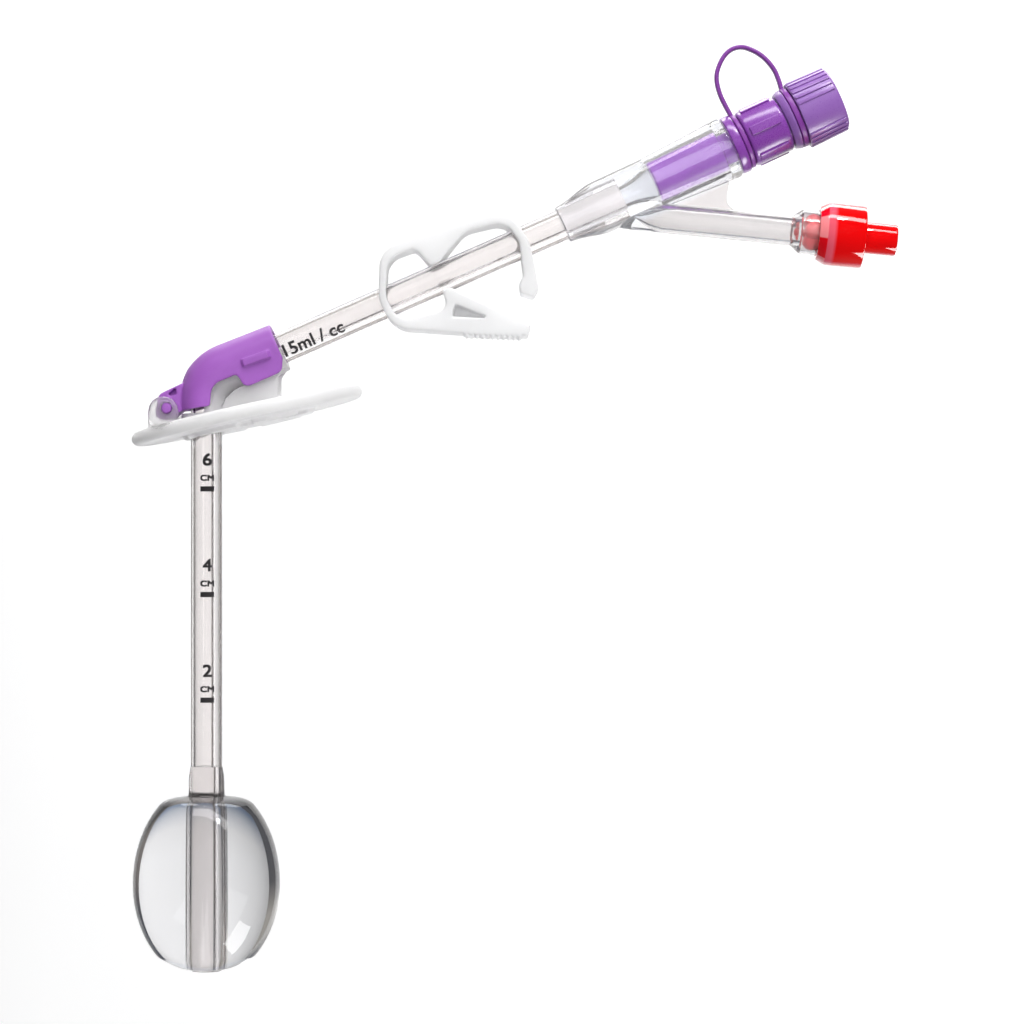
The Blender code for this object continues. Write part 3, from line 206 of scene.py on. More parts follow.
def spun(profile, steps=96, closed=True, sector=2 * math.pi):
    """Turns a chain of (radius, height) points about Z."""
    builder = bmesh.new()
    points = [builder.verts.new((radius, 0, height)) for radius, height in profile]
    pairs = list(zip(points, points[1:])) + ([(points[-1], points[0])] if closed else [])
    edges = [builder.edges.new(pair) for pair in pairs]
    whole = sector == 2 * math.pi
    bmesh.ops.spin(
        builder, geom=points + edges, cent=(0, 0, 0), axis=(0, 0, 1), dvec=(0, 0, 0),
        angle=sector, steps=steps, use_merge=whole,
    )
    if not whole:
        bmesh.ops.holes_fill(builder, edges=builder.edges, sides=0)
    bmesh.ops.remove_doubles(builder, verts=builder.verts, dist=1e-4)
    bmesh.ops.recalc_face_normals(builder, faces=builder.faces)
    return builder


def station(distance):
    """The tube's frame at a distance from the start of its bend: X along it, Y outwards."""
    if distance < 0:
        return turned(Vector((0, BEND_START_V + distance, 0)), math.pi / 2)
    if distance < BEND_LENGTH:
        part = distance / BEND_RADIUS
        u = BEND_RADIUS * (1 - math.cos(part))
        v = BEND_START_V + BEND_RADIUS * math.sin(part)
        return turned(Vector((u, v, 0)), math.pi / 2 - part)
    return turned(slant_point(distance - BEND_LENGTH + BEND_TANGENT), SLANT)


def slant_distance(reach):
    """Distance along the tube from the start of its bend to a point on the slanted run."""
    return BEND_LENGTH + reach - BEND_TANGENT


def shaft_distance(v):
    """Distance along the tube from the start of its bend to a height on the shaft."""
    return v - BEND_START_V


def circle(radius, steps, across=0.0):
    """The (across, w) points of a round ring."""
    turns = [2 * math.pi * index / steps for index in range(steps)]
    return [(across + radius * math.cos(turn), radius * math.sin(turn)) for turn in turns]


def swept(rings, places, surface_at=None):
    """Carries closed rings of (across, w) points along frames; rings inside the first are holes."""
    builder = bmesh.new()
    loops = []
    for ring in rings:
        points = [builder.verts.new(places[0] @ Vector((0, across, w))) for across, w in ring]
        loops.append([builder.edges.new((points[i - 1], points[i])) for i in range(len(points))])
    ends = [edge for loop in loops for edge in loop]
    for step, (here, there) in enumerate(zip(places, places[1:])):
        for index, loop in enumerate(loops):
            grown = bmesh.ops.extrude_edge_only(builder, edges=loop)["geom"]
            moved = {item for item in grown if isinstance(item, bmesh.types.BMVert)}
            bmesh.ops.transform(builder, matrix=there @ here.inverted(), verts=list(moved))
            walls = {face for point in moved for face in point.link_faces}
            for face in walls:
                face.material_index = surface_at(index, step) if surface_at else 0
            loops[index] = list({
                edge for point in moved for edge in point.link_edges
                if edge.other_vert(point) in moved
            })
    bmesh.ops.triangle_fill(builder, edges=ends, use_beauty=True)
    ends = [edge for loop in loops for edge in loop]
    bmesh.ops.triangle_fill(builder, edges=ends, use_beauty=True)
    bmesh.ops.recalc_face_normals(builder, faces=builder.faces)
    return builder


def plate(corners, low, high):
    """Cuts a plate to (x, y, radius) corners, rounds them, and draws it out along Z."""
    builder = bmesh.new()
    points = [builder.verts.new((x, y, low)) for x, y, _ in corners]
    builder.faces.new(points)
    cuts = []
    for index, point in enumerate(points):
        back = points[index - 1].co - point.co
        ahead = points[(index + 1) % len(points)].co - point.co
        half = back.angle(ahead) / 2
        room = 0.49 * min(back.length, ahead.length)
        cuts.append(min(corners[index][2] / math.tan(half), room))
    for point, cut in zip(points, cuts):
        if cut > 0.01:
            bmesh.ops.bevel(
                builder, geom=[point], affect="VERTICES", offset=cut, segments=6, profile=0.5,
                material=-1, clamp_overlap=False,
            )
    grown = bmesh.ops.extrude_face_region(builder, geom=list(builder.faces))["geom"]
    top = [item for item in grown if isinstance(item, bmesh.types.BMVert)]
    bmesh.ops.translate(builder, verts=top, vec=(0, 0, high - low))
    bmesh.ops.recalc_face_normals(builder, faces=builder.faces)
    return builder


def block(size, centre, edge=0.0):
    """A block for cuts and grips, with its edges rounded if asked."""
    builder = bmesh.new()
    bmesh.ops.create_cube(builder, size=1.0)
    bmesh.ops.scale(builder, vec=size, verts=builder.verts)
    if edge:
        bmesh.ops.bevel(
            builder, geom=list(builder.edges), affect="EDGES", offset=edge, segments=3, profile=0.5,
            material=-1,
        )
    builder.transform(centre)
    return builder


def rod(radius, low, high, place):
    """A round bar along a frame's Z."""
    builder = bmesh.new()
    bmesh.ops.create_cone(
        builder, cap_ends=True, segments=64, radius1=radius, radius2=radius, depth=high - low,
    )
    builder.transform(place @ Matrix.Translation((0, 0, (low + high) / 2)))
    return builder


def eased(builder, offset, segments):
    """Rounds a shape's sharp edges."""
    bmesh.ops.bevel(
        builder, geom=[edge for edge in builder.edges if edge.calc_face_angle(0) > 0.8],
        affect="EDGES", offset=offset, segments=segments, profile=0.5, material=-1,
    )


def loose(builder):
    """A builder's shape as an object that isn't placed yet."""
    builder.normal_update()
    mesh = bpy.data.meshes.new("shape")
    builder.to_mesh(mesh)
    builder.free()
    made = bpy.data.objects.new("shape", mesh)
    bpy.context.scene.collection.objects.link(made)
    return made


def settled(part):
    """Applies an object's modifiers to its mesh."""
    graph = bpy.context.evaluated_depsgraph_get()
    result = bpy.data.meshes.new_from_object(part.evaluated_get(graph))
    part.modifiers.clear()
    part.data = result


def worked(part, builder, operation):
    """Joins, cuts or trims a part with another shape."""
    tool = loose(builder)
    step = part.modifiers.new("work", "BOOLEAN")
    step.operation = operation
    step.solver = "EXACT"
    step.object = tool
    settled(part)
    bpy.data.objects.remove(tool, do_unlink=True)


def moulded(part, grain, passes):
    """Runs a part's shapes into one skin and rounds its edges, as its mould does."""
    skin = part.modifiers.new("skin", "REMESH")
    skin.mode = "VOXEL"
    skin.voxel_size = grain
    flow = part.modifiers.new("flow", "SMOOTH")
    flow.factor = 0.5
    flow.iterations = passes
    settled(part)


def gathered(parts):
    """Joins loose objects into the first one."""
    builder = bmesh.new()
    for part in parts:
        builder.from_mesh(part.data)
        bpy.data.objects.remove(part, do_unlink=True)
    return loose(builder)


def dressed(part, name, surfaces, crease=None):
    """Names a part, gives it its surfaces and shades it smooth up to its creases."""
    part.name = name
    part.data.name = name
    part.data.materials.clear()
    for key in surfaces:
        part.data.materials.append(SURFACES[key])
    part.data.shade_smooth()
    if crease:
        part.data.set_sharp_from_angle(angle=math.radians(crease))


def finished(part, name, place, surfaces, body, nodes, crease=None):
    """Lays a part down, dresses it and lets it ride on its body."""
    part.data.transform(LYING @ place)
    dressed(part, name, surfaces, crease)
    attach(part, body)
    if nodes:
        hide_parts(*nodes)


# Surfaces


def surface(name, colour, roughness, **sockets):
    """A shader with its constant sockets set directly."""
    made = bpy.data.materials.new(name)
    made.use_nodes = True
    shader = made.node_tree.nodes["Principled BSDF"]
    shader.inputs["Base Color"].default_value = (*colour, 1.0)
    shader.inputs["Roughness"].default_value = roughness
    for socket, value in sockets.items():
        shader.inputs[socket.replace("_", " ")].default_value = value
    return made


def grounded(made, place):
    """Object coordinates turned into millimetres of one of the tube's frames."""
    nodes = made.node_tree.nodes
    links = made.node_tree.links
    back = (LYING @ place).inverted()
    where = nodes.new("ShaderNodeTexCoord")
    turn = nodes.new("ShaderNodeMapping")
    turn.inputs["Location"].default_value = back.translation
    turn.inputs["Rotation"].default_value = back.to_euler()
    turn.inputs["Scale"].default_value = back.to_scale()
    links.new(where.outputs["Object"], turn.inputs["Vector"])
    return turn.outputs["Vector"]


def stretched(made, vector, scale):
    """A vector scaled on each axis, so that a pattern runs along one of them."""
    turn = made.node_tree.nodes.new("ShaderNodeMapping")
    turn.inputs["Scale"].default_value = scale
    made.node_tree.links.new(vector, turn.inputs["Vector"])
    return turn.outputs["Vector"]


def cloudy(made, vector, scale, detail=3.0):
    """Soft noise from 0 to 1."""
    noise = made.node_tree.nodes.new("ShaderNodeTexNoise")
    noise.inputs["Scale"].default_value = scale
    noise.inputs["Detail"].default_value = detail
    made.node_tree.links.new(vector, noise.inputs["Vector"])
    return noise.outputs["Fac"]


def ranged(made, value, low, high, start=0.35, end=0.65):
    """A value's range from start to end, laid on low to high."""
    reach = made.node_tree.nodes.new("ShaderNodeMapRange")
    reach.inputs["From Min"].default_value = start
    reach.inputs["From Max"].default_value = end
    reach.inputs["To Min"].default_value = low
    reach.inputs["To Max"].default_value = high
    made.node_tree.links.new(value, reach.inputs["Value"])
    return reach.outputs["Result"]


def blended(made, share, first, second):
    """A colour between two, by a share from 0 to 1."""
    mix = made.node_tree.nodes.new("ShaderNodeMix")
    mix.data_type = "RGBA"
    for socket, colour in (("A", first), ("B", second)):
        if isinstance(colour, tuple):
            mix.inputs[socket].default_value = (*colour, 1.0)
        else:
            made.node_tree.links.new(colour, mix.inputs[socket])
    made.node_tree.links.new(share, mix.inputs["Factor"])
    return mix.outputs["Result"]


def parted(made, vector):
    """The X, Y and Z of a vector."""
    split = made.node_tree.nodes.new("ShaderNodeSeparateXYZ")
    made.node_tree.links.new(vector, split.inputs["Vector"])
    return split.outputs


def figured(made, operation, *values):
    """One sum on node results and constants."""
    step = made.node_tree.nodes.new("ShaderNodeMath")
    step.operation = operation
    for socket, value in zip(step.inputs, values):
        if isinstance(value, (int, float)):
            socket.default_value = value
        else:
            made.node_tree.links.new(value, socket)
    return step.outputs["Value"]


def feed(made, socket, value):
    """Links a value to one of the shader's sockets."""
    made.node_tree.links.new(value, made.node_tree.nodes["Principled BSDF"].inputs[socket])


def embossed(made, height, strength, distance):
    """Relief from a height pattern, its depth in millimetres."""
    bump = made.node_tree.nodes.new("ShaderNodeBump")
    bump.inputs["Strength"].default_value = strength
    bump.inputs["Distance"].default_value = distance * 0.001
    made.node_tree.links.new(height, bump.inputs["Height"])
    feed(made, "Normal", bump.outputs["Normal"])


def clear_silicone(name, place, index, tint=(0.965, 0.94, 0.935), milk=0.94, roughness=0.04):
    """See-through silicone with a faint drawn grain along its frame's X."""
    made = surface(name, tint, roughness, Transmission_Weight=milk, IOR=index)
    vector = grounded(made, place)
    drawn = cloudy(made, stretched(made, vector, (0.05, 1.2, 1.2)), 1.0)
    feed(made, "Roughness", ranged(made, drawn, roughness * 0.6, roughness * 1.8))
    embossed(made, drawn, 0.12, 0.05)
    return made


def filled_balloon(name):
    """Water in its clear skin, a little grey through its depth, and clear in the cuff."""
    made = surface(name, (0.79, 0.79, 0.80), 0.0, Transmission_Weight=1.0, IOR=1.345)
    vector = grounded(made, FLAT)
    height = parted(made, vector)["Y"]
    cuff = ranged(made, height, 0.0, 1.0, BALLOON_TOP_V - 0.3, BALLOON_TOP_V + 0.2)
    haze = blended(made, cloudy(made, vector, 0.1), (0.78, 0.785, 0.80), (0.80, 0.795, 0.80))
    feed(made, "Base Color", blended(made, cuff, haze, (0.97, 0.96, 0.96)))
    return made


def still_silicone(name, index, tint=(0.985, 0.98, 0.98)):
    """Where silicone meets silicone or water, so that hardly any light is bent."""
    made = surface(name, tint, 0.0, Transmission_Weight=1.0, IOR=index, Specular_IOR_Level=0.5)
    vector = grounded(made, FLAT)
    haze = cloudy(made, vector, 0.4)
    feed(made, "Base Color", blended(made, haze, tint, tuple(0.99 * part for part in tint)))
    return made


def frosted_silicone(name):
    """Misty silicone, clearer round the hinge, where the cover's knuckle shows through it."""
    made = surface(
        name, (0.95, 0.945, 0.945), 0.38, Transmission_Weight=0.25, IOR=1.41, Subsurface_Weight=1.0,
        Subsurface_Radius=(1, 1, 1), Subsurface_Scale=0.006,
    )
    vector = grounded(made, FLAT)
    mist = cloudy(made, vector, 0.35)
    feed(made, "Base Color", blended(made, mist, (0.96, 0.95, 0.95), (0.92, 0.915, 0.925)))
    parts = parted(made, vector)
    squares = []
    for axis, middle in zip("XY", EAR_CENTRE):
        apart = figured(made, "SUBTRACT", parts[axis], middle)
        squares.append(figured(made, "MULTIPLY", apart, apart))
    reach = figured(made, "SQRT", figured(made, "ADD", *squares))
    rim = (2.9, 4.2)
    feed(made, "Transmission Weight", ranged(made, reach, 0.82, 0.25, *rim))
    grain = cloudy(made, vector, 5.0, 2.0)
    coarse = ranged(made, grain, 0.30, 0.44)
    feed(made, "Roughness", figured(made, "MULTIPLY", coarse, ranged(made, reach, 0.45, 1.0, *rim)))
    embossed(made, grain, 0.2, 0.03)
    return made


def satin_plastic(name, place, light, dark, low, high, grain_size=6.0, relief=0.03, **sockets):
    """Moulded plastic with an even spark-eroded grain and slight flow marks in its colour."""
    made = surface(name, light, low, **sockets)
    vector = grounded(made, place)
    flow = cloudy(made, stretched(made, vector, (0.25, 0.6, 0.6)), 1.0)
    feed(made, "Base Color", blended(made, flow, light, dark))
    grain = cloudy(made, vector, grain_size, 4.0)
    feed(made, "Roughness", ranged(made, grain, low, high))
    embossed(made, grain, 0.35, relief)
    return made


def clear_plastic(name):
    """The hub's clear vinyl: bluish in the body, greyer in the web and the branch."""
    made = surface(name, (0.8, 0.8, 0.82), 0.05, Transmission_Weight=0.96, IOR=1.45)
    vector = grounded(made, HUB)
    apart = ranged(made, parted(made, vector)["Y"], 1.0, 0.0, -6.4, -5.0)
    beside = parted(made, grounded(made, BRANCH))["Y"]
    fin = ranged(made, beside, 0.0, 1.0, 2.7, 2.95)
    limb = blended(made, fin, (0.80, 0.785, 0.785), (0.72, 0.69, 0.69))
    feed(made, "Base Color", blended(made, apart, (0.86, 0.87, 0.90), limb))
    flow = cloudy(made, stretched(made, vector, (0.18, 0.8, 0.8)), 1.0)
    feed(made, "Roughness", ranged(made, flow, 0.025, 0.1))
    embossed(made, flow, 0.15, 0.06)
    return made


def valve_red(name):
    """Glossy red, with a pink band and paler facets where the wall thins towards the rear."""
    red = (0.80, 0.0, 0.001)
    made = surface(
        name, red, 0.06, IOR=1.3, Coat_Weight=1.0, Coat_IOR=1.55, Coat_Roughness=0.03,
    )
    vector = grounded(made, BRANCH)
    parts = parted(made, vector)
    turn = figured(made, "ARCTAN2", parts["Y"], parts["Z"])
    wave = figured(made, "SINE", figured(made, "MULTIPLY_ADD", turn, 4.0, math.radians(54)))
    pale = ranged(made, wave, 0.0, 1.0, -0.1, 0.1)
    facet = blended(made, pale, (0.80, 0.0, 0.008), (0.95, 0.26, 0.28))
    band = ranged(made, parts["X"], 1.0, 0.0, VALVE_START + 2.6, VALVE_START + 3.3)
    body = blended(made, band, red, (0.80, 0.10, 0.15))
    rear = ranged(made, parts["X"], 1.0, 0.0, VALVE_START + 1.45, VALVE_START + 1.6)
    feed(made, "Base Color", blended(made, rear, body, facet))
    flow = cloudy(made, stretched(made, vector, (0.4, 0.4, 0.4)), 1.0)
    feed(made, "Roughness", ranged(made, flow, 0.03, 0.11))
    return made


SURFACES = {
    "tube": clear_silicone("clear_silicone", SLANTED, 1.41),
    "lumen": clear_silicone("lumen_wall", SLANTED, 1.32, (1.0, 1.0, 1.0), 0.97, 0.05),
    "water": filled_balloon("water_filled_balloon"),
    "bonded": still_silicone("bonded_silicone", 1.002),
    "wet": still_silicone("wet_silicone", 1.055),
    "frosted": frosted_silicone("frosted_silicone"),
    "cover": satin_plastic(
        "satin_purple", SLANTED, (0.35, 0.115, 0.50), (0.30, 0.09, 0.43), 0.38, 0.52,
    ),
    "white": satin_plastic(
        "milky_white", SLANTED, (0.95, 0.95, 0.96), (0.92, 0.92, 0.94), 0.3, 0.45,
        Transmission_Weight=0.12, IOR=1.48, Subsurface_Weight=0.7, Subsurface_Radius=(1, 1, 1),
        Subsurface_Scale=0.004,
    ),
    "hub": clear_plastic("clear_vinyl"),
    "duct": still_silicone("duct_wall", 1.1, (0.93, 0.93, 0.93)),
    "port": satin_plastic(
        "glossy_purple", HUB, (0.25, 0.06, 0.40), (0.21, 0.048, 0.34), 0.22, 0.34, 5.0, 0.02,
        Coat_Weight=0.8, Coat_Roughness=0.2,
    ),
    # The barrel inside the clear hub: the port's own purple painted darker, as painted shade from the
    # hub over it
    "barrel_painted_shade": satin_plastic(
        "barrel_purple_painted_shade", HUB, (0.17, 0.04, 0.28), (0.14, 0.032, 0.24), 0.3, 0.42, 5.0, 0.02,
    ),
    "strap": satin_plastic(
        "strap_purple", HUB, (0.25, 0.055, 0.36), (0.20, 0.042, 0.30), 0.25, 0.4,
    ),
    "cap": satin_plastic(
        "light_purple", HUB, (0.29, 0.13, 0.46), (0.25, 0.11, 0.40), 0.26, 0.42, 5.0, 0.02,
        Coat_Weight=0.6, Coat_Roughness=0.25,
    ),
    "red": valve_red("valve_red"),
    "pink": satin_plastic(
        "retainer_pink", BRANCH, (0.82, 0.14, 0.15), (0.72, 0.09, 0.10), 0.3, 0.45,
        Transmission_Weight=0.2, IOR=1.5,
    ),
    "ink": satin_plastic("print_ink", FLAT, (0.02, 0.018, 0.02), (0.03, 0.028, 0.03), 0.5, 0.65),
    "rubber": satin_plastic(
        "black_rubber", BRANCH, (0.03, 0.03, 0.03), (0.02, 0.02, 0.02), 0.6, 0.8,
    ),
    "steel": satin_plastic(
        "spring_steel", BRANCH, (0.62, 0.62, 0.62), (0.5, 0.5, 0.5), 0.2, 0.35, Metallic=1.0,
    ),
}


# Tube and balloon


def make_feeding_tube():
    """The bent tube with its feeding lumen and its small inflation lumen."""
    marks = [TIP_V, -16.2, BALLOON_TOP_V, CUFF_TOP_V]
    distances = [shaft_distance(v) for v in marks]
    distances += [BEND_LENGTH * index / 24 for index in range(25)]
    distances += [slant_distance(HUB_START + 0.1), slant_distance(SLANT_LENGTH)]
    rings = [
        circle(TUBE_RADIUS, 80),
        circle(LUMEN_RADIUS, 56, LUMEN_OFFSET),
        circle(SMALL_LUMEN_RADIUS, 24, SMALL_LUMEN_OFFSET),
    ]
    last = len(distances) - 2

    def zone(ring, step):
        """Which of the tube's surfaces a wall has, by its ring and its place along the tube."""
        if ring:
            return 3
        if step in (0, 1):
            return 1
        return 2 if step in (2, last) else 0

    tube = loose(swept(rings, [station(distance) for distance in distances], zone))
    finished(
        tube, "feeding_tube_skin", FLAT, ["tube", "wet", "bonded", "lumen"], "tube",
        ["feeding_tube"], 40,
    )


def make_balloon():
    """The balloon full of water as one clear body, with its cuff run out along the shaft."""
    profile = [(0, -16.32), (3.0, -16.3), (4.4, -16.15), (5.8, -15.72)]
    profile += [(7.2, -15.05), (8.4, -14.35)]
    low, high, steps = -13.7, 15.2, 40
    for index in range(steps + 1):
        v = (low + high) / 2 - (high - low) / 2 * math.cos(math.pi * index / steps)
        semi = BALLOON_RISE if v > 0 else BALLOON_DROP
        profile.append((BALLOON_RADIUS * math.sqrt(1 - (v / semi) ** 2), v))
    profile += [(8.1, 15.75), (7.2, 16.12), (6.0, 16.38), (4.9, 16.5), (4.1, 16.6), (3.62, 16.7)]
    profile += [(3.46, 16.95), (3.42, 18.2), (3.4, 19.6), (3.33, 20.6), (3.2, 21.4), (3.08, 22.1)]
    profile += [(3.02, CUFF_TOP_V), (0, CUFF_TOP_V)]
    balloon = loose(spun(profile, 128, closed=False))
    finished(
        balloon, "filled_balloon", SHAFT, ["water"], "tube", ["balloon", "balloon_water"],
        40,
    )


# Bolster


def disc_top_v(u):
    """Height of the disc's tilted upper face."""
    return DISC_CENTRE[1] + (u - DISC_CENTRE[0]) * math.tan(DISC_TILT)


def make_bolster():
    """Disc with air channels, neck, trough, gussets and the hinge's ears, in one skin."""
    half = DISC_LENGTH / 2
    edge = DISC_THICKNESS / 2
    profile = [(0, -0.6)]
    for index in range(1, 9):
        share = index / 8
        profile.append((half * share * 0.7, -0.6 * math.cos(share * 0.7 * math.pi / 2)))
    for index in range(13):
        turn = math.pi / 2 - math.pi * index / 12
        profile.append((half - edge + edge * math.cos(turn), -edge + edge * math.sin(turn)))
    profile += [(12.9, -2.6), (12.6, -3.5), (0, -3.5)]
    bolster = loose(spun(profile, 120, closed=False))
    for index in range(DISC_CHANNELS):
        turn = Matrix.Rotation(2 * math.pi * (index + 0.5) / DISC_CHANNELS, 4, "Z")
        channel = block((12.6, 3.0, 1.44), turn @ Matrix.Translation((12.6, 0, -3.5)))
        worked(bolster, channel, "DIFFERENCE")
    bolster.data.transform(DISC @ Matrix.Diagonal((1, DISC_DEPTH / DISC_LENGTH, 1, 1)))
    worked(bolster, rod(NECK_RADIUS, disc_top_v(0) - DISC_ROOT, 89.8, SHAFT), "UNION")
    steps = 28
    angles = [math.pi * index / steps for index in range(steps + 1)]
    bed = [(-TROUGH_OUTER * math.sin(a), -TROUGH_OUTER * math.cos(a)) for a in angles]
    start = shaft_distance(disc_top_v(0) - 0.87)
    turns = [BEND_LENGTH * index / 20 for index in range(21)]
    places = [station(d) for d in [start, *turns, slant_distance(TROUGH_END)]]
    worked(bolster, swept([bed], places), "UNION")
    for side in (1, -1):
        worked(bolster, gusset(side), "UNION")
        worked(bolster, ear(side), "UNION")
    passage = [station(d) for d in [-20, *turns, slant_distance(TROUGH_END + 5)]]
    worked(bolster, swept([circle(TROUGH_INNER, 72)], passage), "DIFFERENCE")
    hinge = Matrix.Translation((HINGE_U, HINGE_V, 0))
    worked(bolster, rod(PIN_HOLE_RADIUS, -9, 9, hinge), "DIFFERENCE")
    moulded(bolster, 0.28, 5)
    finished(bolster, "bolster_skin", FLAT, ["frosted"], "tube", ["bolster"])


def gusset(side):
    """One of the two thin walls that carry the trough on the disc."""
    foot = 3.9
    flank = 14.0
    rise = slant_point(BEND_TANGENT, -foot)
    top = slant_point(TROUGH_END - 0.6, -foot)
    corners = [
        (foot * 0.7, disc_top_v(foot) - DISC_ROOT, 0),
        (foot, BEND_START_V + 1.0, 3.0),
        (rise.x, rise.y, 0),
        (top.x, top.y, 0),
        (flank, disc_top_v(flank) + 4.6, 2.0),
        (flank, disc_top_v(flank) + 0.15, 2.4),
        (17.2, disc_top_v(17.2) - 0.5, 0),
        (flank, disc_top_v(flank) - DISC_ROOT, 0),
    ]
    low, high = sorted((side * 3.25, side * 4.35))
    return plate(corners, low, high)


def ear(side):
    """One of the two ears that hold the cover's pin."""
    u, v = EAR_CENTRE
    foot = disc_top_v(u) - DISC_ROOT
    corners = [
        (u + EAR_HALF, foot, 0),
        (u + EAR_HALF, v + EAR_HALF, EAR_HALF),
        (u - EAR_HALF, v + EAR_HALF, EAR_HALF),
        (u - EAR_HALF, foot - 1.0, 0),
    ]
    low, high = sorted((side * 3.2, side * 4.5))
    return plate(corners, low, high)


# Elbow cover


def cover_crown(distance):
    """Height of the cover's crown over the tube's axis: slim at the foot, full over the bend."""
    half = BEND_LENGTH / 2
    if distance < half:
        share = max(0.0, min(1.0, (distance + 1.5) / (half + 1.5)))
        return COVER_FOOT_CROWN + COVER_SWELL * share
    share = min(1.0, (distance - half) / (slant_distance(COVER_END) - half))
    return COVER_CROWN - COVER_TAPER * share


def make_elbow_cover():
    """Arched half shell over the bend, with its arm, pockets, pin and grips."""
    steps = 36
    turns = [math.pi * index / steps for index in range(steps + 1)]
    outer = [(COVER_CROWN * math.sin(t), COVER_OUTER_SIDE * math.cos(t)) for t in turns]
    inner = [(COVER_INNER_CROWN * math.sin(t), COVER_INNER_SIDE * math.cos(t)) for t in turns]
    section = [(COVER_RIM, COVER_OUTER_SIDE), *outer, (COVER_RIM, -COVER_OUTER_SIDE)]
    section += [(COVER_RIM, -COVER_INNER_SIDE), *inner[::-1], (COVER_RIM, COVER_INNER_SIDE)]
    end = slant_distance(COVER_END)
    distances = [shaft_distance(COVER_FOOT_V - 1.5), shaft_distance(COVER_FOOT_V)]
    distances += [BEND_LENGTH * index / 24 for index in range(25)]
    distances += [BEND_LENGTH + (end - BEND_LENGTH) * index / 4 for index in range(1, 5)]
    places = []
    for distance in distances:
        grow = Matrix.Diagonal((1, cover_crown(distance) / COVER_CROWN, 1, 1))
        places.append(station(distance) @ grow)
    cover = loose(swept([section], places))
    corner = slant_point(COVER_END - 1.2, -4.5)
    tip = slant_point(COVER_END, -2.25)
    start = slant_point(6.6, -4.5)
    notch = slant_point(6.2, -1.5)
    beyond = slant_point(COVER_END + 4, 9)
    edge = [
        (-9.0, COVER_FOOT_V - 0.6, 0),
        (-4.9, COVER_FOOT_V, 0),
        (1.2, COVER_FOOT_V + 0.9, 0.7),
        (1.5, COVER_FOOT_V + 4.9, 2.6),
        (notch.x, notch.y, 0.8),
        (start.x, start.y, 1.3),
        (corner.x, corner.y, 1.5),
        (tip.x, tip.y, 0.5),
        (beyond.x, beyond.y - 6, 0),
        (beyond.x, beyond.y, 0),
        (-9.0, beyond.y, 0),
    ]
    worked(cover, plate(edge, -9, 9), "INTERSECT")
    arm = [
        (-4.4, COVER_FOOT_V + 0.1, 0),
        (-4.4, COVER_FOOT_V + 5.3, 0),
        (HINGE_U - 1.6, HINGE_V + 2.7, 1.2),
        (HINGE_U - 2.1, HINGE_V, 2.1),
        (HINGE_U - 2.1, HINGE_V - 2.1, 2.1),
        (HINGE_U + 0.6, HINGE_V - 2.1, 2.1),
    ]
    worked(cover, plate(arm, -2.9, 2.9), "UNION")
    pocket = [(-7.4, 93.0, 0.2), (-5.5, 94.9, 0.2), (-5.5, 93.3, 0.2)]
    for low, high in ((1.5, 4.0), (-4.0, -1.5)):
        worked(cover, plate(pocket, low, high), "DIFFERENCE")
    hinge = Matrix.Translation((HINGE_U, HINGE_V, 0))
    worked(cover, rod(PIN_RADIUS, -4.5, 4.5, hinge), "UNION")
    middle = slant_point(10.7, -0.3)
    for side in (1, -1):
        middle.z = side * COVER_OUTER_SIDE
        grip = block((5.4, 1.6, 1.4), turned(middle, SLANT - math.radians(4)), 0.25)
        worked(cover, grip, "UNION")
    moulded(cover, 0.2, 3)
    finished(
        cover, "elbow_cover_skin", FLAT, ["cover"], "cover", ["elbow_cover"],
    )


# Pinch clamp


def make_pinch_clamp():
    """One-piece clamp: an open frame with two jaws, a latch and a toothed thumb rest."""
    jaw = 2.6
    corners = [(8.9, -15.3, 0.4), (7.5, -17.0, 0.4)]
    start = Vector((6.5, -16.5))
    run = Vector((-3.5, -11.6)) - start
    peak_step = Vector((run.y, -run.x)).normalized() * -0.6
    for tooth in range(CLAMP_TEETH):
        valley = start + run * (tooth / CLAMP_TEETH)
        peak = start + run * ((tooth + 0.5) / CLAMP_TEETH) + peak_step
        corners += [(valley.x, valley.y, 0.2), (peak.x, peak.y, 0.2)]
    corners += [(-3.5, -11.6, 0), (-15.4, -5.4, 5.5), (-15.7, 0.6, 5.0), (-11.5, 9.5, 5.0)]
    corners += [(13.7, 7.2, 5.5), (15.0, -1.0, 6.0), (13.1, -9.4, 0.6), (11.5, -10.7, 0.5)]
    corners += [(9.5, -9.0, 0.5), (9.9, -7.3, 0.5), (11.3, -6.2, 0.8), (13.2, 0.0, 3.0)]
    corners += [(12.3, 4.6, 5.0), (4.6, 6.1, 4.0), (-2.1, jaw, 0.6), (-4.1, jaw, 0.6)]
    corners += [(-5.5, 6.9, 1.4), (-11.1, 7.2, 3.4), (-14.2, 0.6, 4.0), (-13.9, -4.6, 3.5)]
    corners += [(-4.3, -6.2, 2.4), (-3.9, -jaw, 0.6), (-2.3, -jaw, 0.6)]
    face = CLAMP_DEPTH / 2
    clamp = loose(plate(corners, -face, face))
    along = Matrix.Rotation(math.pi / 2, 4, "Y")
    worked(clamp, rod(TUBE_RADIUS + CLAMP_PLAY, -40, 40, along), "DIFFERENCE")
    recess = [(-2.7, -5.9, 0.3), (-4.1, -7.9, 0.3), (2.5, -11.2, 0.3)]
    for low, high in ((face - 3.4, face + 1), (-face - 1, 3.4 - face)):
        worked(clamp, plate(recess, low, high), "DIFFERENCE")
    moulded(clamp, 0.2, 4)
    place = turned(slant_point(CLAMP_CENTRE), SLANT)
    finished(
        clamp, "pinch_clamp_skin", place, ["white"], "clamp", ["pinch_clamp"],
    )


# Y end


